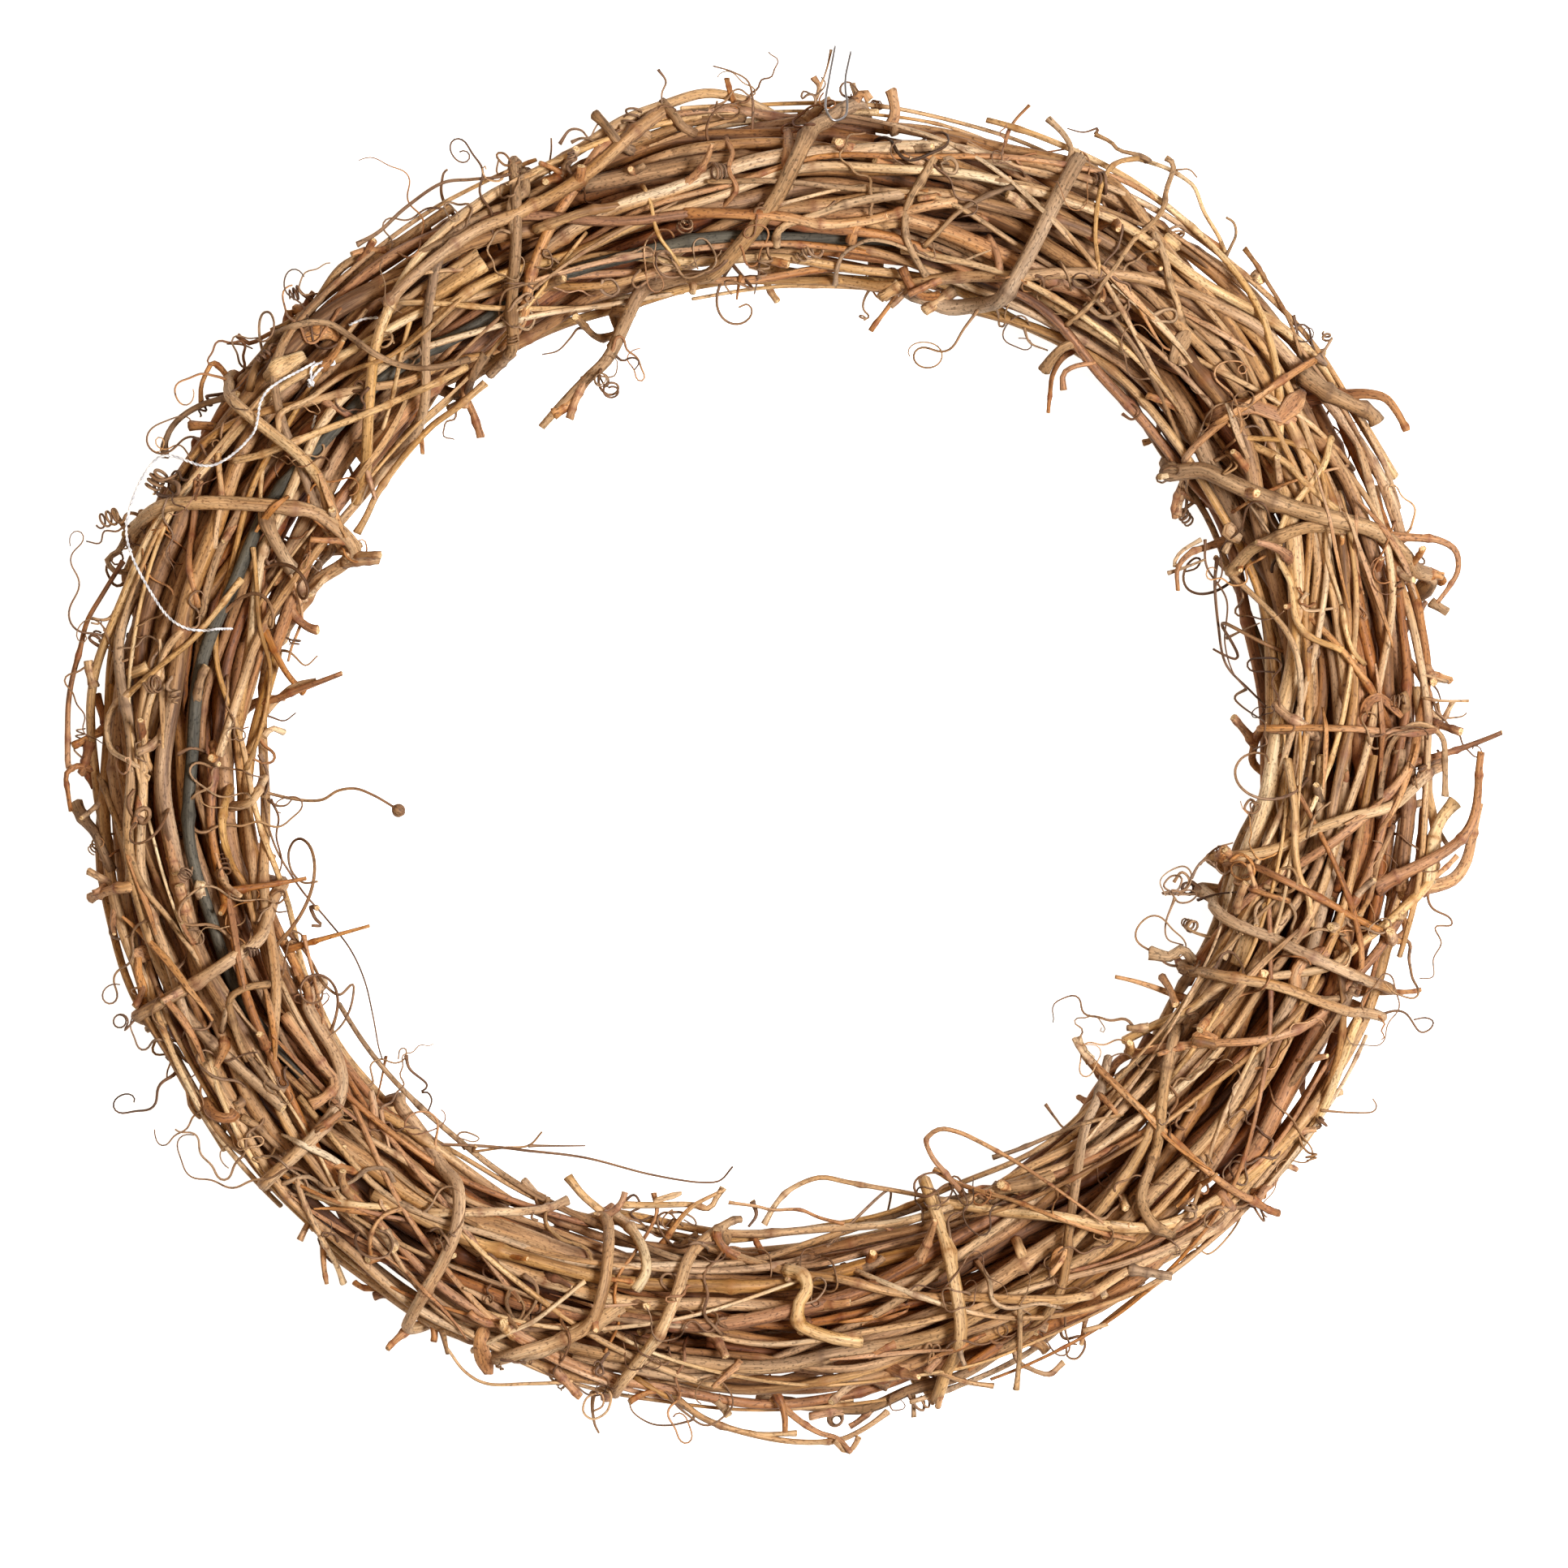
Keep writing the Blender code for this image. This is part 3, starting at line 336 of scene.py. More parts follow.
# Binding vines: each knot is a ring angle and an angle round the bundle's section, in degrees: 0
# is the outer edge, 90 the front, 180 the inner edge
binders = {
    "binder_red": {"diameter": 1.9 * mm, "knots": (
        (313.9, 255), (316.4, 180), (319.6, 0), (346.0, -180), (344.0, -360), (362.4, -540),
        (364.0, -720), (393.4, -900), (395.8, -1080), (398.3, -1155))},
    "binder_foot": {"diameter": 3.2 * mm, "foot": 221.8, "knots": (
        (193.2, 245), (194.6, 190), (195.6, 160), (199.0, 138), (200.3, 112), (201.5, 84),
        (202.1, 54), (202.4, 30), (202.7, 0), (205.0, -90), (206.6, -180), (208.8, -213),
        (212.6, -212), (215.9, -219), (218.4, -238), (219.7, -263), (220.2, -297),
        (220.4, -320), (220.7, -360), (221.8, -450), (222.9, -540), (224.4, -565),
        (226.5, -564), (229.8, -576), (233.5, -596), (236.4, -621), (237.2, -640),
        (237.6, -676), (238.2, -720), (244.0, -810), (250.4, -895), (252.1, -958),
        (252.9, -995), (250.5, -1017), (248.7, -1028), (246.9, -1039), (246.0, -1080),
        (255.0, -1165), (263.0, -1235), (265.2, -1265), (263.4, -1283), (261.3, -1300),
        (260.4, -1332), (258.7, -1368), (256.9, -1397), (256.2, -1440), (255.0, -1510))},
    "binder_top": {"diameter": 4.0 * mm, "foot": 79, "knots": (
        (59.5, -75), (62.2, 0), (62.6, 53), (62.5, 83), (62.5, 110), (63.2, 127), (64.4, 148),
        (67.3, 172), (71.5, 182), (74.5, 192), (77.0, 220), (79.0, 270), (81.5, 330),
        (84.0, 378), (87.0, 433), (90.6, 468), (95.3, 490), (101.7, 516), (105.5, 530)),
        "freeEnd": ((111, -31, 9), (118, -36, 8), (124.6, -40, 8))},
    "binder_right": {"diameter": 2.9 * mm, "foot": 335.6, "knots": (
        (344.5, 245), (342.6, 190), (341.4, 162), (340.4, 136), (340.1, 105), (339.5, 86),
        (339.5, 57), (339.6, 15), (339.0, -25), (336.5, -70), (334.3, -130), (333.0, -180),
        (333.4, -210), (334.3, -244), (336.0, -268), (336.0, -292), (336.4, -320),
        (336.9, -350), (337.0, -372), (337.0, -398))},
    "binder_upper": {"diameter": 3.0 * mm, "knots": (
        (111.5, -60), (112.6, 0), (113.4, 42), (114.8, 63), (117.5, 95), (121.2, 123),
        (124.2, 142), (128.0, 160), (131.0, 200), (133.0, 240))},
    "binder_pale": {"diameter": 3.4 * mm, "knots": (
        (283.0, -70), (284.6, 0), (285.6, 28), (288.2, 68), (289.5, 103), (290.3, 131),
        (290.2, 172), (289.5, 215), (289.0, 250))},
    "binder_thick": {"diameter": 4.3 * mm, "knots": (
        (12.0, -75), (15.0, -15), (16.9, 23), (19.7, 48), (22.8, 82), (27.3, 109),
        (33.0, 136), (35.5, 165), (37.0, 220))},
    "binder_low_right": {"diameter": 3.0 * mm, "knots": (
        (345.5, 250), (346.6, 180), (348.2, 139), (351.4, 113), (353.7, 89), (354.8, 73),
        (358.0, 28), (358.9, 0), (360.0, -60))},
    "binder_slant": {"diameter": 2.9 * mm, "knots": (
        (142.5, -75), (144.6, -20), (145.3, 8), (145.9, 35), (147.0, 84), (148.5, 118),
        (151.5, 145), (153.9, 165), (155.6, 200), (157.0, 245))},
    "binder_bent": {"diameter": 3.5 * mm, "knots": (
        (165.0, -75), (162.0, -35), (159.9, 0), (157.9, 44), (153.4, 102), (151.6, 124),
        (153.2, 148), (157.0, 168), (161.2, 176), (164.5, 185), (167.0, 215), (168.5, 250))},
}
lashing = {
    "leastReach": 0.8, "step": 8.5 * mm, "slackRounds": 60,
    "legShares": (0, 0.17, 0.33, 0.5, 0.67, 0.83, 1), "footSink": 0.9 * mm,
    "footSpread": 9 * mm, "footBehind": -0.6, "nearAngle": 9 * deg, "floorGap": 0.9 * mm,
    "goodEnough": 0.02 * mm,
}
# Shoots that show in the picture: the width, then points as x, y and z from the ring's middle, in
# millimetres
shoots = {
    "knob_tendril": (1.1, -124, -9, 24, -120, -11, 25, -113, -11, 27, -107, -8, 29, -100, -10, 29,
        -95, -13, 28, -92, -15, 28),
    "left_branch": (2.2, -126, 13, 28, -121, 16, 29, -108, 21, 31),
    "left_stub": (2.0, -126, -32, 25, -117, -31, 26),
    "left_twig": (1.7, -121, -48, 28, -112, -46, 29, -101, -43, 31),
    "long_tendril": (1.0, -82, -92, 26, -71, -99, 27, -61, -100, 28, -47, -102, 28, -30, -106, 29,
        -14, -108, 30, -9, -104, 31),
    "low_twig": (1.8, -26, -118, 26, -20, -115, 27, -11, -110, 28),
    "low_loop": (1.5, 49, -109, 29, 40, -99, 32, 45, -94, 35, 60, -101, 38, 73, -109, 46,
        84, -117, 48.5),
    "right_stick": (2.0, 104, -61, 27, 96, -58, 28, 88, -56, 29),
    "right_stub": (2.2, 113, 52, 27, 105, 50, 27, 104, 42, 27),
    "claw": (1.9, 80, 103, 27, 73, 99, 28, 71, 87, 29),
    "top_tendril": (0.9, -4, 162, 28, -4, 166, 29, -6, 172, 29, -14, 175, 29),
    "top_stub": (3.2, -20, 156, 26, -27, 161, 27, -31, 165, 28),
    "grey_end": (3.8, 145, 95, 30, 154, 91, 34, 161, 82, 36),
    "outer_loop": (2.4, 162, 57, 28, 172, 54, 29, 175, 47, 28, 170, 39, 26),
    "right_end": (2.2, 168, -2, 27, 176, 2, 28, 186, 6, 30),
    "flared_end": (4.1, 168, -40, 28, 176, -30, 25, 181, -12, 26),
    "flared_twin": (3.8, 168, -36, 32, 176, -20, 34, 180, 1, 36),
    "low_hook": (2.0, 0, -168, 24, 11, -171, 25, 19, -174, 26, 21, -177, 27),
    "low_stub": (2.0, -112, -120, 26, -113, -127, 27, -112, -134, 28),
    "outer_left": (2.0, -172, -4, 26, -178, -3, 27, -177, -14, 28),
}
knobs = {"knob_tendril": 3.6}  # tips that end in a round knob
growth = {
    "step": 5 * mm, "samples": 120, "drift": 0.28, "near": 8 * mm, "rootSearch": 16 * mm,
    "rootRoom": 3 * mm, "lifts": (0, 3, -3, 6, -6, 9, -9, 12, -12), "tries": 60, "tip": 0.5,
    "reachIn": 104 * mm, "reachOut": 176 * mm, "reachUp": 52 * mm, "reachDown": 2.5 * mm,
}
stubs = {"every": 1, "width": (1.7, 3.0), "length": (8, 17), "bend": (-0.9, 0.9),
         "curl": (-0.6, 0.6), "points": 4}
tendrils = {"every": 2, "width": (0.9, 1.2), "length": (26, 58), "bend": (-1.5, 1.5),
            "curl": (5.0, 8.5), "points": 12}
thread = {"width": 0.8 * mm, "step": 3.5 * mm, "route": (
    (-114, 99), (-126, 91), (-129, 81), (-140, 73), (-154, 75), (-162, 57), (-154, 39),
    (-146, 32), (-135, 32))}
wire = {"route": ((17, 180.4), (15.5, 172), (14.5, 165), (15.5, 161), (18.5, 160.5), (20, 164),
                  (19.5, 171), (21, 179))}
lineSamples = 24
beadStep = 1.0 * mm


def ringRadius(theta):
    return (ring["radius"] + ring["ovalRise"] * np.cos(2 * (theta - ring["ovalTurn"]))
            + ring["eggRise"] * np.cos(3 * (theta - ring["eggTurn"])))


def halfWidth(theta):
    return ring["halfWidth"] + ring["widthRise"] * np.cos(theta - ring["widthTurn"])


def outward(theta):
    return np.stack([np.cos(theta), np.sin(theta), 0 * theta], -1)


def ringPoints(theta, across, up):
    # Ring angle, distance outwards from the ring's mid-line and height above it, as x, y, z
    flat = (ringRadius(theta) + across)[..., None] * outward(theta)
    return flat + np.stack([ring["centre"][0] + 0 * theta, ring["centre"][1] + 0 * theta,
                            up + ring["lift"] + 0 * theta], -1)


def placeOnRing(points):
    # The ring angle of each point, and its distance outwards from the ring's mid-line
    x, y = (points[:, :2] - ring["centre"]).T
    theta = np.arctan2(y, x)
    return theta, np.hypot(x, y) - ringRadius(theta)


def unit(vector):
    return vector / np.linalg.norm(vector, axis=-1, keepdims=True)


def lengths(points, scale=1):
    # The legs between the points, and how far along the line each point is
    legs = np.linalg.norm(np.diff(points, axis=0) * scale, axis=1)
    return legs, np.concatenate([[0], np.cumsum(legs)])


def prolonged(points):
    # One more point before the first and one after the last, straight on
    return np.concatenate([[2 * points[0] - points[1]], points, [2 * points[-1] - points[-2]]])


def flowing(t, before, a, b, after):
    # The Catmull-Rom curve from a to b
    return a + 0.5 * (t * (b - before) + t ** 2 * (2 * before - 5 * a + 4 * b - after)
                      + t ** 3 * (3 * a - before - 3 * b + after))


def readAt(at, along, columns):
    return np.stack([np.interp(at, along, column) for column in columns], 1)


def smoothLine(knots, step, scale=1):
    # A flowing curve through the knots, as points about one step apart
    knots = np.asarray(knots, float)
    ends = prolonged(knots)
    t = np.linspace(0, 1, lineSamples, endpoint=False)[:, None]
    pieces = [flowing(t, *four) for four in zip(ends, ends[1:], ends[2:], ends[3:])]
    line = np.concatenate(pieces + [knots[-1:]])
    along = lengths(line, scale)[1]
    count = max(3, int(round(along[-1] / step)) + 1)
    return readAt(np.linspace(0, along[-1], count), along, line.T)


def layOutCanes():
    rng = np.random.default_rng(seed)
    canes = []
    for kind in caneKinds:
        for number in range(1, kind["count"] + 1):
            radius = kind["diameter"] / 2
            name = f"{kind['name']}_{number}"
            steps = int(kind["turns"] * ring["stations"] * rng.uniform(*roaming["lengths"]))
            start = rng.integers(ring["stations"])
            if name in ledCanes:
                start = round(sum(ledCanes[name]["angles"]) / 720 * ring["stations"] - steps / 2)
            cane = wander(rng, radius, start + np.arange(steps))
            cane["name"] = name
            if name in ledCanes:
                lead(ledCanes[name], cane)
            canes.append(cane)
    return canes


def wander(rng, radius, station):
    # A cane's wish: where it would run through the bundle's sections, station by station
    theta = station * 2 * math.pi / ring["stations"]
    turned = theta - theta[0]
    side = rng.uniform(0, 2 * math.pi)
    side = side + rng.choice([-1, 1]) * rng.uniform(*roaming["twist"]) * turned
    for pace, *reach in roaming["sways"]:
        side += rng.uniform(*reach) * np.sin(pace * theta + rng.uniform(0, wholeTurn))
    depth = math.sqrt(rng.uniform(*roaming["depths"]))
    wave = np.sin(roaming["dipPace"] * theta + rng.uniform(0, wholeTurn))
    depth = np.clip(depth + roaming["dip"] * wave, roaming["innermost"], 1.0)
    wide, high = halfWidth(theta) - radius, ring["halfHeight"] - radius
    wish = np.stack([wide * depth * np.cos(side), high * depth * np.sin(side)], 1)
    return {"radius": np.full(len(theta), radius), "station": station % ring["stations"],
            "theta": theta, "wish": wish, "hold": np.full(len(theta), roaming["hold"])}


def lead(led, cane):
    # Draws one pass of a cane to the top of the bundle between two ring angles
    low, top = led["angles"]
    theta = cane["theta"]
    radius = cane["radius"][0]
    wide, high = halfWidth(theta) - radius, ring["halfHeight"] - radius
    first = math.ceil((math.degrees(theta[0]) - low) / 360)
    angle = np.degrees(theta) - 360 * first
    on = (angle >= low) & (angle <= top)
    across = np.interp(angle[on], led["angles"], led["across"])
    cane["wish"][on, 0] = across
    cane["wish"][on, 1] = high * np.sqrt(1 - (across / wide[on]) ** 2)
    cane["hold"][on] = roaming["ledHold"]


def settle(canes, rounds, still=0):
    # Pushes the canes apart in the ring's sections until no two of them touch, and keeps them
    # inside the bundle's oval. The first ones, as many as "still" says, stay where they are
    sizes = [len(cane["station"]) for cane in canes]
    first = np.concatenate([[0], np.cumsum(sizes)])
    station = np.concatenate([cane["station"] for cane in canes])
    radius = np.concatenate([cane["radius"] for cane in canes])
    wish = np.concatenate([cane["wish"] for cane in canes])
    moves = np.repeat([0.0 if k < still else 1.0 for k in range(len(canes))], sizes)
    hold = np.concatenate([cane["hold"] for cane in canes])[:, None] * moves[:, None]
    place = wish.copy()
    onward = np.arange(len(place)) + 1
    onward[first[1:] - 1] -= 1
    passing = [np.nonzero(station == number)[0] for number in range(ring["stations"])]
    pairs = np.concatenate([those[np.stack(np.triu_indices(len(those), 1))]
                            for those in passing], 1)
    pairs = pairs[:, moves[pairs].sum(0) > 0]
    theta = station * 2 * math.pi / ring["stations"]
    oval = np.stack([halfWidth(theta) - radius, ring["halfHeight"] - radius], 1)
    inner = np.setdiff1d(np.arange(first[still], len(place)),
                         np.concatenate([first[:-1], first[1:] - 1]))
    for number in range(rounds):
        if still and number % pushing["renewed"] == 0 or number == 0:
            a, b = pairs
            if still:
                apart = np.linalg.norm(place[a] - place[b], axis=1)
                a, b = pairs[:, apart < pushing["nearby"]]
            aNext, bNext = onward[a], onward[b]
            leg = ringRadius(theta[a]) * 2 * math.pi / ring["stations"]
            least = radius[a] + radius[b] + ring["gap"]
            easeA = (2 * moves[a] / (moves[a] + moves[b]))[:, None]
            easeB = (2 * moves[b] / (moves[a] + moves[b]))[:, None]
        ease = max(0.0, 1 - number / (rounds * pushing["fade"]))
        place += hold * ease * (wish - place)
        middle = (place[inner - 1] + place[inner + 1]) / 2
        early = number < rounds * pushing["stiffShare"]
        stiff = pushing["bending"] * ease + pushing["stiffness"] * early
        place[inner] += stiff * (middle - place[inner])
        apart = place[a] - place[b]
        drift = place[aNext] - place[bNext] - apart
        t = np.clip(-(apart * drift).sum(1) / np.maximum((drift ** 2).sum(1), 1e-18), 0, 1)
        apart = apart + t[:, None] * drift
        distance = np.sqrt((apart ** 2).sum(1)) + 1e-12
        away = apart / distance[:, None]
        mean = (place[aNext] - place[a] + place[bNext] - place[b]) / 2
        slope = (mean * away).sum(1) / leg
        lack = least * np.sqrt(1 + slope ** 2) - distance
        hit = lack > 0
        push = away[hit] * (pushing["push"] * lack[hit])[:, None]
        share = t[hit]
        evened = (1 - share) ** 2 + share ** 2
        near, far = ((1 - share) / evened)[:, None], (share / evened)[:, None]
        rows = np.concatenate([a[hit], aNext[hit], b[hit], bNext[hit]])
        shift = np.concatenate([push * near * easeA[hit], push * far * easeA[hit],
                                -push * near * easeB[hit], -push * far * easeB[hit]])
        for axis in (0, 1):
            place[:, axis] += np.bincount(rows, shift[:, axis], len(place))
        out = np.sqrt(((place / oval) ** 2).sum(1))
        over = (out > 1) & (moves > 0)
        place[over] *= (0.5 + 0.5 / out[over])[:, None]
    for cane, start, size in zip(canes, first, sizes):
        cane["place"] = place[start:start + size]
        cane["points"] = ringPoints(cane["theta"], cane["place"][:, 0], cane["place"][:, 1])


def beads(points, radii):
    # A tube as a row of balls, x, y, z and radius, for finding what lies near it
    along = lengths(points)[1]
    at = np.linspace(0, along[-1], int(along[-1] / beadStep) + 2)
    return readAt(at, along, (*points.T, radii))


def remember(crowd, points, radii, owner=-1):
    row = beads(points, radii)
    crowd["balls"] = np.concatenate([crowd["balls"], row])
    crowd["owners"] = np.concatenate([crowd["owners"], np.full(len(row), owner)])


def strayKnots(rng):
    start, span = rng.uniform(0, 360), rng.uniform(*strays["span"])
    first, sweep = rng.uniform(-60, 0), rng.uniform(*strays["sweep"])
    share = np.linspace(0, 1, strays["knots"])
    swing = strays["swing"] * np.sin(share * math.pi * rng.uniform(1, 2.5) + rng.uniform(0, 6))
    angle = start + rng.choice([-1, 1]) * span * share
    return np.stack([angle, first + sweep * share + swing], 1)


def layBinder(binder, balls, step):
    # A taut vine round the bundle: each point moves out along its ray until it clears all
    radius = binder["diameter"] / 2
    metric = (deg * ring["radius"], deg * (ring["halfWidth"] + ring["halfHeight"]) / 2)
    theta, side = smoothLine(binder["knots"], step, metric).T * deg
    centre = ringPoints(theta, 0 * theta, 0 * theta)
    ray = (halfWidth(theta) * np.cos(side))[:, None] * outward(theta)
    ray[:, 2] = ring["halfHeight"] * np.sin(side)
    length = np.linalg.norm(ray, axis=1)
    off = np.angle(np.exp(1j * (placeOnRing(balls)[0][:, None] - theta[None, ::2])))
    near = balls[np.abs(off).min(1) < lashing["nearAngle"]]
    reach = np.full(len(theta), lashing["leastReach"])
    for k in range(len(theta)):
        to = near[:, :3] - centre[k]
        along = to @ ray[k] / length[k]
        slack = (near[:, 3] + radius + ring["gap"]) ** 2 - ((to ** 2).sum(1) - along ** 2)
        met = slack > 0
        if met.any():
            reach[k] = max(reach[k], (along[met] + np.sqrt(slack[met])).max() / length[k])
    least = reach.copy()
    shrink = math.cos(np.abs(np.diff(side)).mean())
    for _ in range(lashing["slackRounds"]):
        reach[1:-1] = np.maximum(least[1:-1], shrink * (reach[:-2] + reach[2:]) / 2)
    points = centre + reach[:, None] * ray
    liftOff(points, ray / length[:, None], radius, near)
    points[:, 2] = np.maximum(points[:, 2], radius + lashing["floorGap"])
    if "foot" in binder:
        setFoot(binder["foot"], theta, side, radius, points)
    radii = np.full(len(points), radius)
    if "freeEnd" in binder:
        loose = ringPoints(*(np.array(binder["freeEnd"]) * (deg, mm, mm)).T)
        tail = smoothLine(np.concatenate([points[-2:], loose]), lashing["step"])[3:]
        points = np.concatenate([points, tail])
        taper = np.linspace(radius, growth["tip"] * radius, len(tail) + 1)[1:]
        radii = np.concatenate([radii, taper])
    return points, radii


def liftOff(points, ways, radius, balls):
    # Moves each point along its way until the legs between the points clear every ball
    for _ in range(lashing["slackRounds"]):
        lack = np.zeros(len(points))
        for share in lashing["legShares"]:
            for k, spot in enumerate(points[:-1] + share * np.diff(points, axis=0)):
                gap = (np.linalg.norm(balls[:, :3] - spot, axis=1) - balls[:, 3]).min()
                short = max(0.0, radius + ring["gap"] - gap)
                lack[k] = max(lack[k], short * (1.3 - share))
                lack[k + 1] = max(lack[k + 1], short * (0.3 + share))
        if lack.max() < lashing["goodEnough"]:
            break
        points += lack[:, None] * ways


def setFoot(foot, theta, side, radius, points):
    # Behind the ring the vine sags to the ground
    behind = np.sin(side) < lashing["footBehind"]
    off = np.where(behind, np.abs(theta - foot * deg), math.inf)
    lowest = int(off.argmin())
    level = points[lowest:lowest + 2, :2]
    reach = np.linalg.norm(points[:, None, :2] - level, axis=2).min(1)
    drop = np.clip(1 - reach / lashing["footSpread"], 0, 1) * behind
    points[:, 2] += drop * (radius - lashing["footSink"] - points[:, 2])


def around(line, balls, reach):
    # The balls in the box round a line, that many metres larger on all sides
    low, high = line.min(0) - reach, line.max(0) + reach
    return balls[((balls[:, :3] > low) & (balls[:, :3] < high)).all(1)]


def clears(path, radii, balls):
    near = around(path, balls, growth["near"])
    if not len(near):
        return True
    line = beads(path, radii)
    gap = np.linalg.norm(line[:, None, :3] - near[None, :, :3], axis=2)
    return bool((gap > line[:, None, 3] + near[None, :, 3] + ring["gap"]).all())


def bareRoot(crowd, owner, root, reach):
    close = np.linalg.norm(crowd["balls"][:, :3] - root, axis=1) < reach
    return crowd["balls"][~(close & (crowd["owners"] == owner))]


def withinReach(path):
    flat = np.hypot(path[:, 0] - ring["centre"][0], path[:, 1] - ring["centre"][1])
    return bool(flat.min() > growth["reachIn"] and flat.max() < growth["reachOut"]
                and path[:, 2].min() > growth["reachDown"] and path[:, 2].max() < growth["reachUp"])


def shootPath(shape, root, forward, sideways, rng):
    # A shoot that bends evenly and then curls ever tighter, drifting out of its plane
    samples = growth["samples"]
    length = rng.uniform(*shape["length"]) * mm
    bend, curl = rng.uniform(*shape["bend"]), rng.uniform(*shape["curl"]) * rng.choice([-1, 1])
    s = np.linspace(0, 1, samples)
    heading = bend * s + curl * s ** 2.2
    drift = growth["drift"] * np.ones(samples)
    flow = np.stack([np.cos(heading), np.sin(heading), drift], 1) * length / samples
    track = np.concatenate([[[0, 0, 0]], np.cumsum(flow[1:], 0)])
    pick = np.linspace(0, 1, shape["points"]) ** 0.8
    track = np.stack([np.interp(pick, s, column) for column in track.T], 1)
    axes = np.stack([forward, sideways, np.cross(forward, sideways)])
    width = rng.uniform(*shape["width"]) * mm / 2
    return root + track @ axes, np.linspace(width, growth["tip"] * width, len(track))


def grow(canes, shape, crowd, label):
    # Draws shoots for every so manieth cane until one of them stands clear of everything else
    found = []
    for owner, cane in enumerate(canes[::shape["every"]]):
        owner *= shape["every"]
        rng = np.random.default_rng([seed, owner, len(label)])
        line = beads(cane["points"], cane["radius"])
        for _ in range(growth["tries"]):
            k = rng.integers(6, len(line) - 6)
            root = line[k, :3]
            ahead = unit(line[k + 4, :3] - line[k - 4, :3]) * rng.choice([-1, 1])
            away = awayFrom(root)
            forward = unit(away * rng.uniform(0.5, 1.0) + ahead * rng.uniform(0.5, 1.1))
            sideways = unit(np.cross(forward, rng.normal(size=3)))
            path, radii = shootPath(shape, root, forward, sideways, rng)
            others = bareRoot(crowd, owner, root, line[k, 3] + growth["rootRoom"])
            if not withinReach(path) or not clears(path, radii, others):
                continue
            remember(crowd, path, radii)
            found.append({"owner": owner, "points": path, "radii": radii, "kind": label})
            break
    return found


def awayFrom(root):
    # The way straight out of the bundle at a point in it
    theta = math.atan2(root[1] - ring["centre"][1], root[0] - ring["centre"][0])
    across = math.hypot(*(root[:2] - ring["centre"])) - ringRadius(theta)
    away = across / halfWidth(theta) ** 2 * outward(np.float64(theta))
    away[2] = (root[2] - ring["lift"]) / ring["halfHeight"] ** 2
    return unit(away)


def placeShoots(canes, crowd):
    # The shoots given by points start at the axis of the nearest cane that lets them pass
    found = []
    for name, (width, *points) in shoots.items():
        points = np.reshape(points, (-1, 3)) * mm + np.array([*ring["centre"], 0])
        width = width * mm / 2
        best = None
        for lift in growth["lifts"]:
            raised = points + np.array([0, 0, lift * mm])
            gap = np.linalg.norm(crowd["balls"][:, :3] - raised[0], axis=1)
            for owner in range(len(canes)):
                mine = np.nonzero(crowd["owners"] == owner)[0]
                k = mine[gap[mine].argmin()]
                if gap[k] > growth["rootSearch"]:
                    continue
                root = crowd["balls"][k, :3]
                path = smoothLine(np.concatenate([[root], raised[1:]]), growth["step"])
                radii = np.linspace(width, growth["tip"] * width, len(path))
                room = crowd["balls"][k, 3] + width + growth["rootRoom"]
                others = bareRoot(crowd, owner, root, room)
                if clears(path, radii, others) and (best is None or gap[k] < best[0]):
                    best = (gap[k], owner, path, radii)
            if best:
                break
        if not best:
            print(name, "finds no clear way")
            continue
        _, owner, path, radii = best
        if name in knobs:
            radii[-2:] = knobs[name] * mm / 2
        remember(crowd, path, radii)
        found.append({"owner": owner, "points": path, "radii": radii, "kind": name})
    return found


def drape(route, balls):
    # A thread rests on top of whatever lies under its route
    radius = thread["width"] / 2
    flat = smoothLine(np.array(route) * mm + np.array(ring["centre"]), thread["step"])
    up = np.full(len(flat), ring["lift"])
    for k, spot in enumerate(flat):
        off = np.linalg.norm(balls[:, :2] - spot, axis=1)
        slack = (balls[:, 3] + radius + ring["gap"]) ** 2 - off ** 2
        met = slack > 0
        up[k] = max(up[k], (balls[met, 2] + np.sqrt(slack[met])).max(initial=0))
    for _ in range(lashing["slackRounds"]):
        up[1:-1] = np.maximum(up[1:-1], (up[:-2] + up[2:]) / 2)
    points = np.column_stack([flat, up])
    near = around(points, balls, growth["near"])
    liftOff(points, np.array([[0, 0, 1.0]]), radius, near)
    return points


def layOutWreath():
    # Every vine of the CAD as its line and thickness, by node name
    canes = layOutCanes()
    settle(canes, ring["rounds"])
    crowd = {"balls": np.zeros((0, 4)), "owners": np.zeros(0, int)}
    for owner, cane in enumerate(canes):
        remember(crowd, cane["points"], cane["radius"], owner)
    vines = {}
    rng = np.random.default_rng(seed + 1)
    for number in range(1, strays["count"] + 1):
        stray = {"diameter": rng.uniform(*strays["diameter"]) * mm, "knots": strayKnots(rng)}
        vines[f"stray_vine_{number}"] = layBinder(stray, crowd["balls"], strays["step"])
        remember(crowd, *vines[f"stray_vine_{number}"])
    for name, binder in binders.items():
        vines[name] = layBinder(binder, crowd["balls"], lashing["step"])
        remember(crowd, *vines[name])
    grown = placeShoots(canes, crowd)
    grown += grow(canes, stubs, crowd, "stub")
    grown += grow(canes, tendrils, crowd, "tendril")
    threadLine = drape(thread["route"], crowd["balls"])
    wireLine = drape(wire["route"], crowd["balls"])
    return canes, vines, grown, threadLine, wireLine


canes, vines, grown, threadLine, wireLine = layOutWreath()
print("wreath laid out:", len(canes), "canes,", len(vines), "other vines,", len(grown), "shoots")


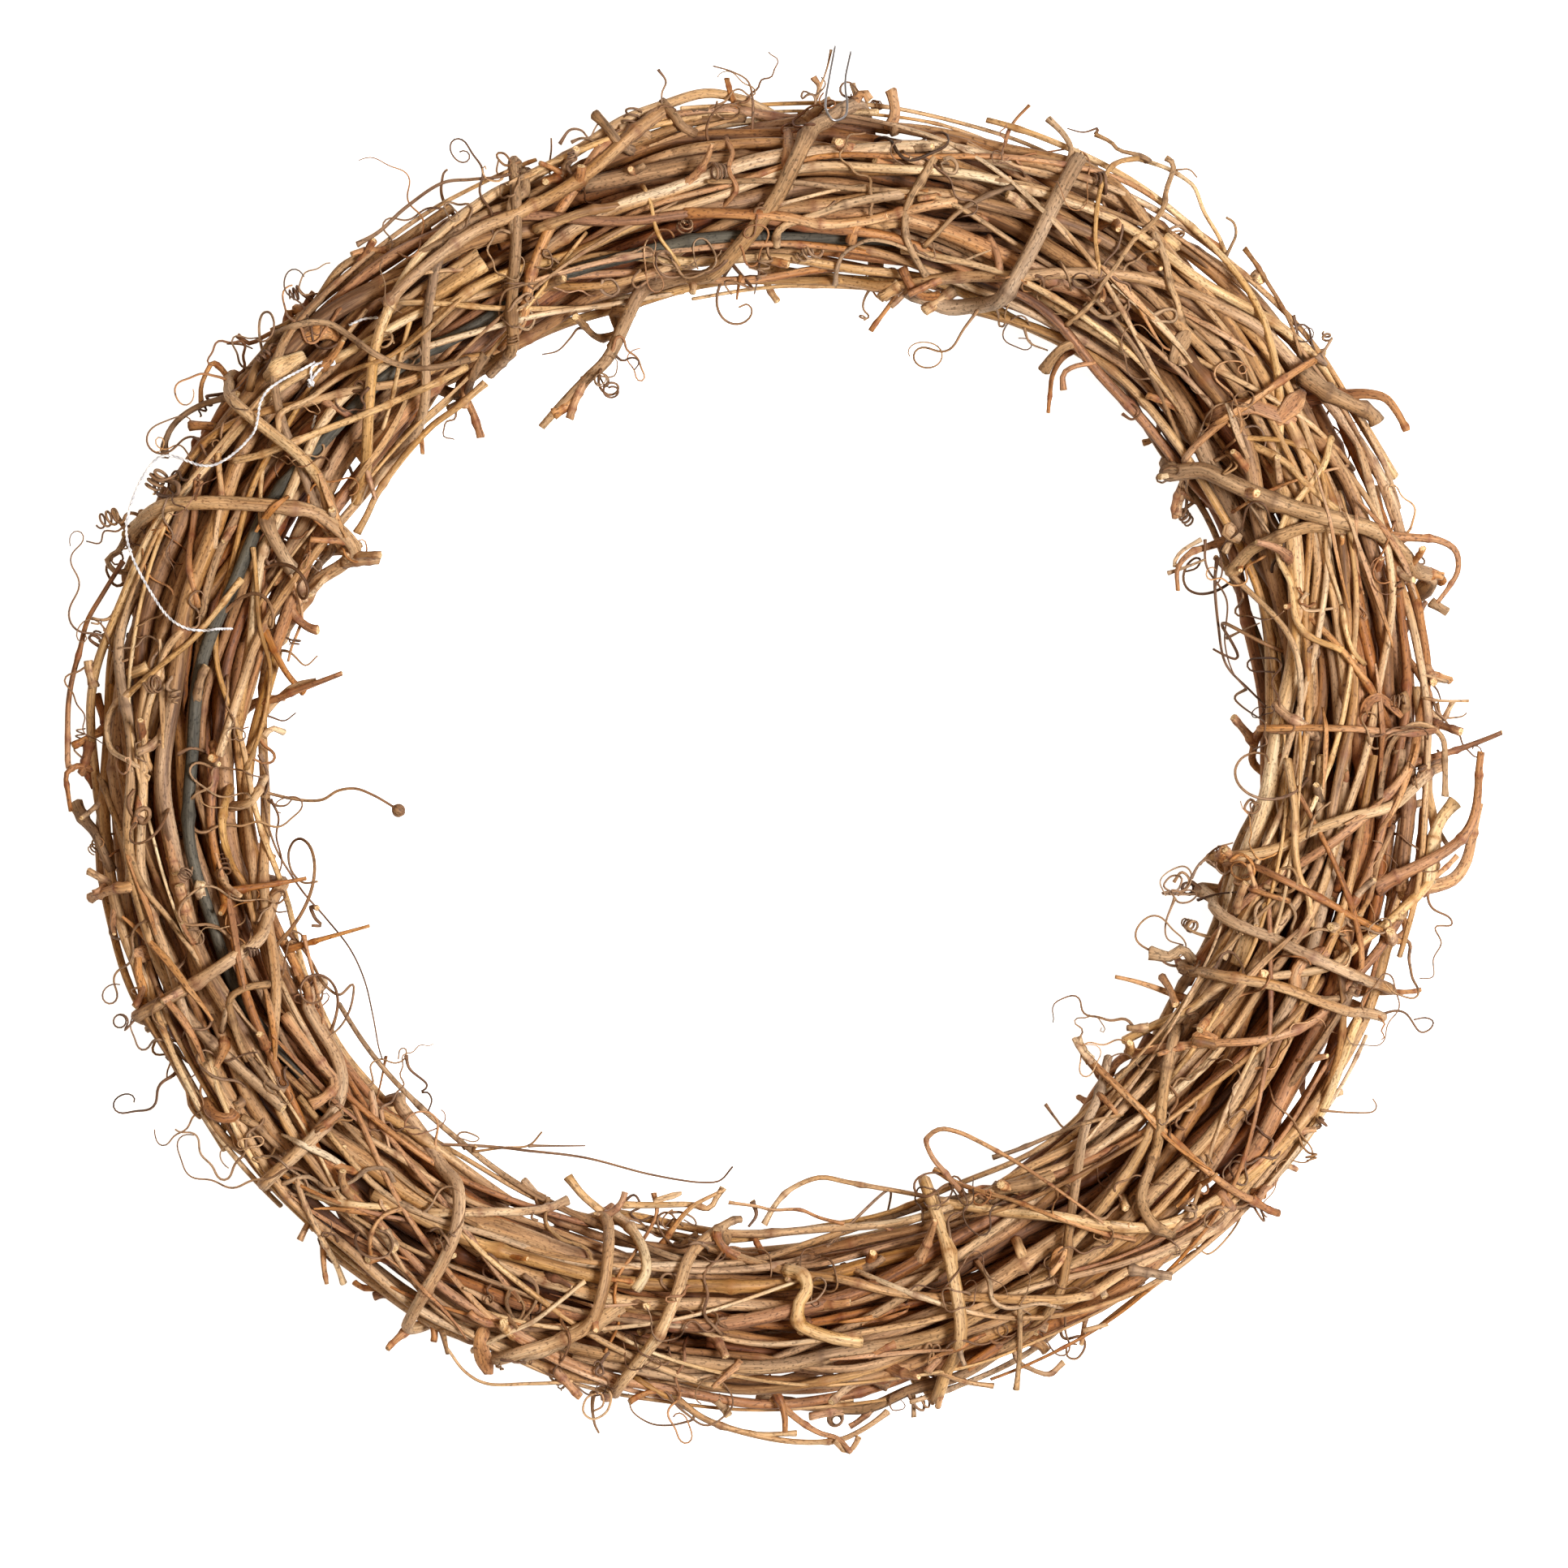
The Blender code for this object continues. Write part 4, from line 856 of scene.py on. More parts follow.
# --- swept vines: a mesh built ring by ring along a line
vineForm = {
    "ringStep": 3.2 * mm, "knotSpacing": (48, 98), "knotRise": 0.30, "knotReach": 1.7 * mm,
    "ridge": 0.045, "swell": 0.05, "taper": 0.06, "weave": 0.45 * mm, "weaveLong": 44 * mm,
    "rimRise": 0.1, "pithShare": 0.78, "endSlant": (-0.5, 0.5),
    "firstKnot": (0.12, 0.6), "knotRings": (-1.6, -0.7, 0, 0.7, 1.6), "knotDark": (0.75, 0.7),
    "swellWaves": (23 * mm, 61 * mm), "ridgeWaves": (70 * mm, 33 * mm),
    "toneWaves": ((0.10, 37 * mm), (0.07, 13 * mm)), "flareReach": (2.2 * mm, 2.0 * mm),
}
shadeFrom = (0.92, 0.5)  # where the painted shade inside the bundle begins, and how far in it reaches its full strength


class Bundle:
    # Gathers the swept vines of one piece until its mesh is made
    def __init__(self):
        self.points, self.faces, self.slots = [], [], []
        self.grain, self.tone, self.joint = [], [], []
        self.count = 0

    def add(self, points, faces, slots, grain, tone, joint):
        self.points.append(points)
        self.faces += [tuple(k + self.count for k in face) for face in faces]
        self.slots += slots
        self.grain.append(grain)
        self.tone.append(tone)
        self.joint.append(joint)
        self.count += len(points)


def insideShadeShare(points):
    # How much painted shade the bark gets: 0 on the outside of the bundle, 1 from some way under
    # its surface
    theta, across = placeOnRing(points)
    up = (points[:, 2] - ring["lift"]) / ring["halfHeight"]
    start, over = shadeFrom
    return np.clip((start - np.hypot(across / halfWidth(theta), up)) / over, 0, 1)


def makePiece(name, bundle, finishNames, replaced=()):
    mesh = bpy.data.meshes.new(name)
    points = np.clip(np.concatenate(bundle.points), np.array(cadBox[0]), np.array(cadBox[1]))
    mesh.from_pydata(points.tolist(), [], bundle.faces)
    for finish in finishNames:
        mesh.materials.append(finishes[finish])
    slots = np.array(bundle.slots)
    mesh.polygons.foreach_set("material_index", slots)
    cut = finishNames.index("cut_wood") if "cut_wood" in finishNames else -1
    mesh.polygons.foreach_set("use_smooth", slots != cut)
    grain = mesh.attributes.new("grain", "FLOAT_VECTOR", "POINT")
    grain.data.foreach_set("vector", np.concatenate(bundle.grain).ravel())
    # the depth attribute drives the bark's painted shade inside the bundle
    depth = insideShadeShare(points)
    for label, values in (("tone", np.concatenate(bundle.tone)),
                          ("joint", np.concatenate(bundle.joint)), ("depth", depth)):
        layer = mesh.attributes.new(label, "FLOAT", "POINT")
        layer.data.foreach_set("value", values)
    mesh.update()
    piece = bpy.data.objects.new(name, mesh)
    bpy.context.scene.collection.objects.link(piece)
    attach(piece, "root")
    if replaced:
        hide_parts(*replaced)


def resample(points, radii, at):
    # A flowing curve through the points, with the radii, read at arc lengths
    legs, along = lengths(points)
    k = np.clip(np.searchsorted(along, at, side="right") - 1, 0, len(points) - 2)
    t = ((at - along[k]) / legs[k])[:, None]
    ends = prolonged(points)
    curve = flowing(t, ends[k], ends[k + 1], ends[k + 2], ends[k + 3])
    return curve, np.interp(at, along, radii)


def arcLength(line):
    return np.linalg.norm(np.diff(line, axis=0), axis=1).sum()


def evenly(line, step):
    # The line as points one step apart
    return resample(line, np.zeros(len(line)), np.arange(0, arcLength(line), step))[0]


def turnedFrames(points):
    # Directions along and across the line, carried along it without twist
    along = unit(np.gradient(points, axis=0))
    start = np.cross(along[0], (0, 0, 1.0))
    if np.linalg.norm(start) < 0.1:
        start = np.cross(along[0], (1.0, 0, 0))
    side = unit(start)
    sides = np.empty_like(points)
    for k, way in enumerate(along):
        side = side - side.dot(way) * way
        side = side / np.linalg.norm(side)
        sides[k] = side
    return along, sides, np.cross(along, sides)


def placeJoints(rng, form, length, at):
    # Where a vine's joints sit along it, and its rings, moved closer together there
    places, reach = [], form["knotReach"]
    spot = rng.uniform(*form["firstKnot"]) * form["knotSpacing"][1] * mm
    while spot < length - reach:
        places.append(spot)
        spot += rng.uniform(*form["knotSpacing"]) * mm
    near = np.array([place + off * reach for place in places for off in form["knotRings"]])
    if len(near):
        keep = np.abs(at[:, None] - near[None]).min(1) > 0.7 * reach
        keep[[0, -1]] = True
        near = near[(near > 0.5 * mm) & (near < length - 0.5 * mm)]
        at = np.sort(np.concatenate([at[keep], near]))
    return places, at


def sweepVine(bundle, points, radii, sides, rng, tone=0.5, knots=True, form=None, barkSlot=0,
              cutSlot=1, flare=(0, 0), flat=1.0, floor=None):
    # One vine: rings of points round its line, with swellings at its joints and cut ends.
    # Flare widens the tube at its start and its end, flat squashes it into a strip
    form = {**vineForm, **(form or {})}
    length = arcLength(points)
    at = np.linspace(0, length, max(4, int(round(length / form["ringStep"])) + 1))
    places = []  # of its joints
    if knots:
        places, at = placeJoints(rng, form, length, at)
    line, radius = resample(points, radii, at)
    along, side, up = turnedFrames(line)
    phase = rng.uniform(0, wholeTurn, 8)
    # its line sways a little to both sides, less towards its ends
    share = np.clip(at / length, 0, 1)
    weave = form["weave"] * min(1, length / (60 * mm)) * np.sqrt(np.sin(math.pi * share))
    line = line + (weave * np.sin(at / form["weaveLong"] * wholeTurn + phase[0]))[:, None] * side
    line = line + (weave * np.sin(at / form["weaveLong"] * 5.1 + phase[1]))[:, None] * up
    if floor is not None:
        line[:, 2] = np.maximum(line[:, 2], floor + radius)
    # its thickness swells and tapers, and its section is ridged and thicker at the joints
    quick, slow = form["swellWaves"]
    swell = 1 + form["swell"] * np.sin(at / quick + phase[2]) * np.sin(at / slow + phase[3])
    swell += form["taper"] * (1 - 2 * at / length) * rng.choice([-1, 1])
    joint = np.zeros(len(at))
    turn = np.arange(sides) * 2 * math.pi / sides
    slow, quick = form["ridgeWaves"]
    ridges = np.ones((len(at), sides))
    ridges += form["ridge"] * np.cos(2 * turn + phase[4] + at[:, None] / slow)
    ridges += 0.6 * form["ridge"] * np.cos(3 * turn + phase[5] - at[:, None] / quick)
    dark, narrow = form["knotDark"]
    for spot in places:
        bump = np.exp(-((at - spot) / form["knotReach"]) ** 2)
        shade = np.exp(-((at - spot) / (narrow * form["knotReach"])) ** 2)
        joint = np.maximum(joint, dark * shade)
        lean = 0.5 + 0.5 * np.cos(turn + rng.uniform(0, wholeTurn))
        ridges += form["knotRise"] * bump[:, None] * (0.5 + 0.8 * lean)
    first, last = form["flareReach"]
    swell += flare[0] * np.exp(-at / first) + flare[1] * np.exp(-(length - at) / last)
    r = (radius * swell)[:, None] * ridges
    loops = ((r * np.cos(turn))[..., None] * side[:, None]
             + (flat * r * np.sin(turn))[..., None] * up[:, None])
    body = (line[:, None] + loops).reshape(-1, 3)
    if floor is not None:
        body[:, 2] = np.maximum(body[:, 2], floor)
    own = rng.uniform(-0.5, 0.5, 3)  # each vine reads its own part of the bark's grain
    n, wide = len(at), np.repeat(radius, sides)
    grain = np.stack([np.repeat(at, sides), np.tile(np.cos(turn), n) * wide,
                      np.tile(np.sin(turn), n) * wide], 1) + own
    tones = tone
    for (depth, long), start in zip(form["toneWaves"], phase[6:]):
        tones = tones + depth * np.sin(at / long + start)
    faces = [(k * sides + j, k * sides + (j + 1) % sides, (k + 1) * sides + (j + 1) % sides,
              (k + 1) * sides + j) for k in range(n - 1) for j in range(sides)]
    slots = [barkSlot] * len(faces)
    # each end is a rim drawn in to a slanting cut
    extra, extraGrain = [], []
    total = len(body)
    for end, way in ((0, -1), (n - 1, 1)):
        slant = rng.uniform(*form["endSlant"], 2)
        rim = body[end * sides:(end + 1) * sides]
        middle = rim.mean(0)
        push = way * along[end] * radius[end]
        inner = middle + form["pithShare"] * (rim - middle) + form["rimRise"] * push
        tilt = (inner - middle) @ np.stack([side[end], up[end]], 1) @ slant
        inner = inner + tilt[:, None] * along[end] * 0.5
        first = total + len(extra)
        extra += [*inner, middle + 1.5 * form["rimRise"] * push]
        extraGrain += [*grain[end * sides:(end + 1) * sides], grain[end * sides]]
        for j in range(sides):
            after = (j + 1) % sides
            quad = (end * sides + after, end * sides + j, first + j, first + after)
            cap = (first + after, first + j, first + sides)
            if way > 0:
                quad, cap = quad[::-1], cap[::-1]
            faces += [quad, cap]
            slots += [barkSlot, cutSlot]
    body = np.concatenate([body, np.array(extra)])
    if floor is not None:
        body[:, 2] = np.maximum(body[:, 2], floor)
    grain = np.concatenate([grain, np.array(extraGrain)])
    per = np.concatenate([np.repeat(tones, sides), np.full(len(extra), tone)])
    joints = np.concatenate([np.repeat(joint, sides), np.zeros(len(extra))])
    bundle.add(body, faces, slots, grain, per, joints)


# --- the CAD's vines, dressed: one piece for each node
caneLook = {
    "slim": 0.83,  # the finished vines are a little finer than the CAD's
    "tone": (0.2, 0.8), "form": {"weave": 0.7 * mm},
    "sides": {"thick_cane": 11, "cane": 9, "slim_cane": 8},
    "barks": ("vine_tan", "vine_golden", "vine_tan", "vine_grey", "vine_golden", "vine_tan",
              "vine_red"),
    "led": {"thick_cane_1": "vine_tan", "cane_1": "vine_dark"},
    "darkStretch": (58, 214),  # ring angles between which the dark vine's bark has weathered so
    "strays": ("vine_golden", "vine_red", "vine_tan", "vine_grey"),
    "binders": {"binder_red": "vine_red", "binder_pale": "vine_golden", "binder_top": "vine_grey",
                "binder_upper": "vine_grey", "binder_thick": "vine_grey"},
}
# A cane's own bark is its first finish, and these come after it
caneFinishes = {"cut": "cut_wood", "stout": "vine_red", "thin": "tendril_brown", "tan": "vine_tan"}
caneSlots = {part: number + 1 for number, part in enumerate(caneFinishes)}
shootLook = {
    "thin": {"sides": 5, "ringStep": 1.1 * mm}, "stout": {"sides": 7, "ringStep": 1.6 * mm},
    "thinBelow": 0.65 * mm, "flare": (0.5, 0.12), "tone": (0.4, 0.7),
    "form": {"weave": 0.2 * mm, "knotSpacing": (9, 22), "knotReach": 0.8 * mm},
    "knob": 1.75 * mm, "knobStep": 0.6 * mm,
    "knobForm": {"ringStep": 0.6 * mm, "weave": 0, "swell": 0.0, "ridge": 0.03, "rimRise": 0.02},
}
woundLook = {
    "straySides": 7, "binderSides": 10, "tone": (0.45, 0.6),
    "form": {"ringStep": 2.0 * mm, "weave": 0.3 * mm, "knotSpacing": (30, 70)},
}


def pick(options, number):
    return options[number % len(options)]


def dressCanes():
    for owner, cane in enumerate(canes):
        name = cane["name"]
        rng = np.random.default_rng([seed, 50, owner])
        kind = name.rsplit("_", 1)[0]
        finish = caneLook["led"].get(name, pick(caneLook["barks"], owner))
        bundle = Bundle()
        sweepVine(bundle, cane["points"], caneLook["slim"] * cane["radius"],
                  caneLook["sides"][kind], rng, rng.uniform(*caneLook["tone"]),
                  form=caneLook["form"])
        for shoot in grown:
            if shoot["owner"] == owner:
                dressShoot(bundle, shoot, rng)
        if finish == "vine_dark":
            keepDark(bundle, *caneLook["darkStretch"])
        makePiece(name + "_bark", bundle, (finish, *caneFinishes.values()), [name])


def keepDark(bundle, low, high):
    # Past both ends of its dark stretch, under the other vines, this one is as tan as they are
    angles = np.degrees(placeOnRing(np.concatenate(bundle.points))[0]) % 360
    for number, face in enumerate(bundle.faces):
        if bundle.slots[number] == 0 and not low < angles[face[0]] < high:
            bundle.slots[number] = caneSlots["tan"]


def dressShoot(bundle, shoot, rng):
    if shoot["kind"] in knobs:
        dressKnob(bundle, shoot, rng)
        return
    kind = "thin" if shoot["radii"][0] < shootLook["thinBelow"] else "stout"
    look = shootLook[kind]
    sweepVine(bundle, shoot["points"], shoot["radii"], look["sides"], rng,
              rng.uniform(*shootLook["tone"]), knots=kind == "stout",
              form={"ringStep": look["ringStep"], **shootLook["form"]},
              barkSlot=caneSlots[kind], flare=shootLook["flare"])


def dressKnob(bundle, shoot, rng):
    # A wavy thread of a tendril with a round knob at its tip
    fine = np.arange(0, arcLength(shoot["points"]), shootLook["knobStep"])
    left, ball = fine[-1] - fine, shootLook["knob"]
    radii = np.maximum(np.linspace(0.5, 0.32, len(fine)) * mm,
                       np.sqrt(np.maximum(ball ** 2 - (left - ball) ** 2, 0)))
    sweepVine(bundle, evenly(shoot["points"], shootLook["knobStep"]), radii, 9, rng, 0.6,
              knots=False, barkSlot=caneSlots["thin"], cutSlot=caneSlots["thin"],
              form=shootLook["knobForm"])


def dressOthers():
    for number, (name, (points, radii)) in enumerate(vines.items()):
        rng = np.random.default_rng([seed, 60, number])
        if name.startswith("stray"):
            finish = pick(caneLook["strays"], int(name.rsplit("_", 1)[1]))
            sides = woundLook["straySides"]
        else:
            finish = caneLook["binders"].get(name, "vine_tan")
            sides = woundLook["binderSides"]
        bundle = Bundle()
        sweepVine(bundle, points, radii, sides, rng, rng.uniform(*woundLook["tone"]),
                  form=woundLook["form"], floor=0.0)
        makePiece(name + "_bark", bundle, (finish, "cut_wood"), [name])


# The thread's two plies, wound round each other, and the single drawn wire
plies = {"radius": 0.21 * mm, "apart": 0.18 * mm, "pitch": 2.7 * mm, "step": 0.35 * mm,
         "sides": 6}
drawnWire = {"radius": 0.3 * mm, "step": 1.0 * mm, "sides": 8}
smoothForm = {"weave": 0, "ridge": 0.0, "swell": 0.0, "taper": 0.0}


def plied(line):
    # The lines of both plies of a thread that follows this line
    path = evenly(line, plies["step"])
    fine = np.arange(0, arcLength(line), plies["step"])
    _, side, up = turnedFrames(path)
    for start in (0, math.pi):
        turned = (fine / plies["pitch"] * 2 * math.pi + start)[:, None]
        yield path + plies["apart"] * (np.cos(turned) * side + np.sin(turned) * up)


def sweepPlies(bundle, line, rng):
    for ply in plied(line):
        sweepVine(bundle, ply, np.full(len(ply), plies["radius"]), plies["sides"], rng,
                  knots=False, form={"ringStep": plies["step"], **smoothForm}, cutSlot=0)


def dressLines():
    rng = np.random.default_rng([seed, 70])
    spun = Bundle()
    sweepPlies(spun, threadLine, rng)
    makePiece("white_thread_spun", spun, ("cotton",), ["white_thread"])
    drawn = Bundle()
    sweepVine(drawn, wireLine, np.full(len(wireLine), drawnWire["radius"]), drawnWire["sides"],
              rng, knots=False, form={"ringStep": drawnWire["step"], **smoothForm}, cutSlot=0)
    makePiece("hanging_wire_drawn", drawn, ("steel_wire",), ["hanging_wire"])


dressCanes()
dressOthers()
dressLines()
print("CAD vines dressed")


# --- thinner vines wound in among the canes
fillers = {
    "kinds": (
        {"count": 10, "diameter": (2.2, 3.0), "turns": (0.6, 1.0)},
        {"count": 20, "diameter": (1.2, 2.1), "turns": (0.25, 0.8)},
    ),
    "rounds": 260, "sides": 6, "tone": (0.3, 0.75),
    "form": {"ringStep": 4.0 * mm, "weave": 0.7 * mm},
    "barks": ("vine_tan", "vine_golden", "vine_tan", "vine_red", "vine_golden", "vine_grey"),
}


def layFillers():
    rng = np.random.default_rng(seed + 20)
    added = []
    for kind in fillers["kinds"]:
        for _ in range(kind["count"]):
            radius = rng.uniform(*kind["diameter"]) * mm / 2
            steps = int(rng.uniform(*kind["turns"]) * ring["stations"])
            added.append(wander(rng, radius, rng.integers(ring["stations"]) + np.arange(steps)))
    fixed = [{**cane, "wish": cane["place"]} for cane in canes]
    settle(fixed + added, fillers["rounds"], still=len(fixed))
    bundles = {}
    for number, vine in enumerate(added):
        bundle = bundles.setdefault(pick(fillers["barks"], number), Bundle())
        sweepVine(bundle, vine["points"], vine["radius"], fillers["sides"], rng,
                  rng.uniform(*fillers["tone"]), form=fillers["form"])
    for finish, bundle in bundles.items():
        makePiece("inner_vines_" + finish[5:], bundle, (finish, "cut_wood"))
    return added


innerVines = layFillers()
print("inner vines wound in")


# --- what lies loose over the bundle: its height seen from above and from below
relief = {
    "cell": 0.75 * mm, "half": 195 * mm, "offsets": 4, "easeRounds": 250,
    "nothing": -1.0, "bare": -0.5,  # the height where nothing lies, and what is read as such
    "bottom": 1.5 * mm, "top": 51.2 * mm,
    "disc": ((0, 0), (0.8, 0), (-0.8, 0), (0, 0.8), (0, -0.8)),
}


class HeightMap:
    # The highest point of all vines over each cell of the ground; from below, with side = -1
    def __init__(self, balls, side):
        self.side = side
        self.size = int(2 * relief["half"] / relief["cell"])
        self.heights = np.full((self.size, self.size), relief["nothing"])
        self.cover(balls)

    def cover(self, balls):
        cell = relief["cell"]
        spot = (balls[:, :2] + relief["half"]) / cell
        middle = np.floor(spot).astype(int)
        reach = relief["offsets"]
        for i in range(-reach, reach + 1):
            for j in range(-reach, reach + 1):
                at = middle + (i, j)
                off = ((at + 0.5 - spot) ** 2).sum(1) * cell ** 2
                met = (off < balls[:, 3] ** 2) & (at > 0).all(1) & (at < self.size - 1).all(1)
                top = self.side * balls[met, 2] + np.sqrt(balls[met, 3] ** 2 - off[met])
                np.maximum.at(self.heights, (at[met, 0], at[met, 1]), top)

    def read(self, flat, radius):
        # The height under a disc of that radius round each point
        best = np.full(len(flat), relief["nothing"])
        for off in np.array(relief["disc"]) * radius:
            at = ((flat + off + relief["half"]) / relief["cell"]).astype(int)
            at = np.clip(at, 0, self.size - 1)
            best = np.maximum(best, self.heights[at[:, 0], at[:, 1]])
        return best

    def rest(self, flat, radius, ease=None):
        # How high a springy vine lies that follows the points: on all it meets, taut in between
        need = self.read(flat, radius)
        met = need > relief["bare"]
        if not met.any():
            return np.full(len(flat), ring["lift"])
        index = np.arange(len(flat))
        up = np.interp(index, index[met], need[met]) + 0.8 * radius
        need = np.where(met, need + 0.8 * radius, relief["nothing"])
        for _ in range(ease or relief["easeRounds"]):
            up[1:-1] = np.maximum(need[1:-1], (up[:-2] + up[2:]) / 2)
        return self.side * up


def levelled(flat, up, lowest=relief["bottom"]):
    # The points at these heights, kept between the floor and the CAD's top
    return np.column_stack([flat, np.clip(up, lowest, relief["top"])])


def ballsWithout(*left):
    # The balls of all vines but those whose names start in one of these ways
    lines = [(cane["points"], cane["radius"]) for cane in canes + innerVines]
    lines += [vine for name, vine in vines.items() if not name.startswith(left)]
    return np.concatenate([beads(*line) for line in lines])


looseBundles = {}


def looseBundle(finish):
    return looseBundles.setdefault(finish, Bundle())


def standsInside(points, radius):
    # Nothing that is added stands out of the CAD's box
    lo, hi = np.array(cadBox[0]), np.array(cadBox[1])
    return bool((points > lo + 1.5 * radius).all() and (points < hi - 1.5 * radius).all())


# Loose vines that cross the front and the back at a slant, their ends tucked in
looseVines = {
    "front": 58, "back": 30, "length": (28, 150), "width": (0.8, 1.9), "slant": (-36, 36),
    "spread": 22 * mm, "wall": 2 * mm, "tuck": 16 * mm, "dive": (3.0, 7.0), "sink": 1.1,
    "wave": (0.5, 3.5), "waveLong": (14, 40), "bottom": 1.6 * mm, "tone": (0.35, 0.8),
    "form": {"ringStep": 2.8 * mm, "weave": 0.2 * mm, "knotSpacing": (28, 70)},
    "finishes": ("vine_golden", "vine_tan", "vine_tan", "vine_red", "vine_golden", "vine_grey"),
}


def layLooseVines(maps):
    rng = np.random.default_rng(seed + 30)
    look = looseVines
    for number in range(look["front"] + look["back"]):
        heights = maps["front"] if number < look["front"] else maps["back"]
        length = rng.uniform(*look["length"]) * mm
        radius = rng.uniform(*look["width"]) * mm / 2
        start = rng.uniform(0, 2 * math.pi)
        first = rng.uniform(-1, 1) * look["spread"]
        slant = math.tan(rng.uniform(*look["slant"]) * deg)
        s = np.arange(0, length, 1 * mm)
        across = first + slant * s + rng.uniform(*look["wave"]) * mm * np.sin(
            s / (rng.uniform(*look["waveLong"]) * mm) + rng.uniform(0, wholeTurn))
        wall = halfWidth(start) - look["wall"]
        across = wall * np.tanh(across / wall)
        theta = start + rng.choice([-1, 1]) * s / (ring["radius"] + first)
        flat = ringPoints(theta, across, 0 * theta)[:, :2]
        up = heights.rest(flat, radius) - heights.side * look["sink"] * radius
        dive = np.clip(1 - np.minimum(s, length - s) / look["tuck"], 0, 1) ** 1.6
        up -= heights.side * dive * rng.uniform(*look["dive"]) * mm
        points = levelled(flat, up, look["bottom"])
        if not standsInside(points, radius):
            continue
        radii = np.linspace(radius * 1.1, radius * 0.8, len(points))
        sweepVine(looseBundle(pick(look["finishes"], number)), points[::3], radii[::3], 6, rng,
                  rng.uniform(*look["tone"]), form=look["form"])
        heights.cover(beads(points, radii))


# Spurs: what is left of side shoots and leaf stalks, broken off short, with a swollen foot
spurs = {
    "count": 300, "edgeShare": 0.18, "length": (2.5, 9), "width": (1.3, 2.6),
    "bend": (-1.1, 1.1), "taper": (0.6, 0.95), "flare": (0.45, 0.3), "tone": (0.35, 0.8),
    "finishes": ("vine_red", "vine_red", "vine_tan", "vine_grey", "vine_red"),
    "form": {"ringStep": 1.1 * mm, "weave": 0, "knotSpacing": (3, 7), "knotReach": 0.8 * mm,
             "knotRise": 0.22, "ridge": 0.09},
}
# Where such things may root: how far under the top a vine still shows, from which share of the
# half width on it is at the edge, and how many of the roots are on the back
rooting = {"step": 2 * mm, "shown": 4.5 * mm, "edge": 0.8, "backShare": 0.15}


def surfaceRoots(rng, look, maps):
    # Points on vines that show: from above, from below or at the ring's edges, with the vine's way
    lines = [cane["points"] for cane in canes] + [points for points, _ in vines.values()]
    tracks = [evenly(line, rooting["step"]) for line in lines]
    ways = np.concatenate([unit(np.gradient(track, axis=0)) for track in tracks])
    spots = np.concatenate(tracks)
    theta, across = placeOnRing(spots)
    shows = {side: heights.side * spots[:, 2] > heights.read(spots[:, :2], 0.1 * mm)
             - rooting["shown"] for side, heights in maps.items()}
    shows["edge"] = np.abs(across) > rooting["edge"] * halfWidth(theta)
    edge, back = look["edgeShare"], rooting["backShare"]
    found = []
    for _ in range(look["count"]):
        kind = rng.choice(["front", "edge", "back"], p=[1 - edge - back, edge, back])
        k = rng.choice(np.nonzero(shows[kind])[0])
        found.append((spots[k], ways[k] * rng.choice([-1, 1]), kind))
    return found


def addSpurs(maps):
    rng = np.random.default_rng(seed + 40)
    for number, (root, way, _) in enumerate(surfaceRoots(rng, spurs, maps)):
        length = rng.uniform(*spurs["length"]) * mm
        radius = rng.uniform(*spurs["width"]) * mm / 2
        forward = unit(awayFrom(root) * rng.uniform(0.4, 1.0) + way * rng.uniform(0.6, 1.4)
                       + rng.normal(size=3) * 0.25)
        aside = unit(np.cross(forward, rng.normal(size=3)))
        s = np.linspace(0, 1, 6)
        heading = rng.uniform(*spurs["bend"]) * s ** 1.5
        track = np.stack([np.cos(heading), np.sin(heading)], 1) * (length + 2 * mm) / 6
        track = np.concatenate([[[0, 0]], np.cumsum(track, 0)])
        points = root + track[:, :1] * forward + track[:, 1:] * aside
        if not standsInside(points, 1.3 * radius):
            continue
        radii = np.linspace(radius, radius * rng.uniform(*spurs["taper"]), len(points))
        sweepVine(looseBundle(pick(spurs["finishes"], number)), points, radii, 7, rng,
                  rng.uniform(*spurs["tone"]), flare=spurs["flare"], form=spurs["form"])


# Tendrils: thin hard threads of the vine that wave, curl up tighter towards the tip or coil
fineTendrils = {
    "count": 240, "edgeShare": 0.09, "length": (10, 48), "width": (0.45, 0.85), "points": 90,
    "curl": (1.0, 9.0), "wave": (0.3, 1.3), "paces": (5, 11, 23), "rise": (0, 4),
    "easeRounds": 60, "brownShare": 0.75, "tone": (0.3, 0.8), "flare": (0.5, 0),
    "form": {"weave": 0, "ridge": 0.06, "swell": 0.1},
}
coils = {
    "count": 84, "edgeShare": 0.07, "width": (0.45, 0.85), "radius": (1.0, 2.2),
    "turns": (1.2, 3.5), "perTurn": 16, "pitch": (0.8, 2.0), "lead": (3, 10),
    "clearance": 2.5 * mm, "entry": 3 * mm,
}


def trail(root, heading, length):
    # The flat points of a line that starts at the root and follows these headings
    steps = np.stack([np.cos(heading), np.sin(heading)], 1)
    return root[:2] + np.cumsum(steps, 0) * length / len(heading)


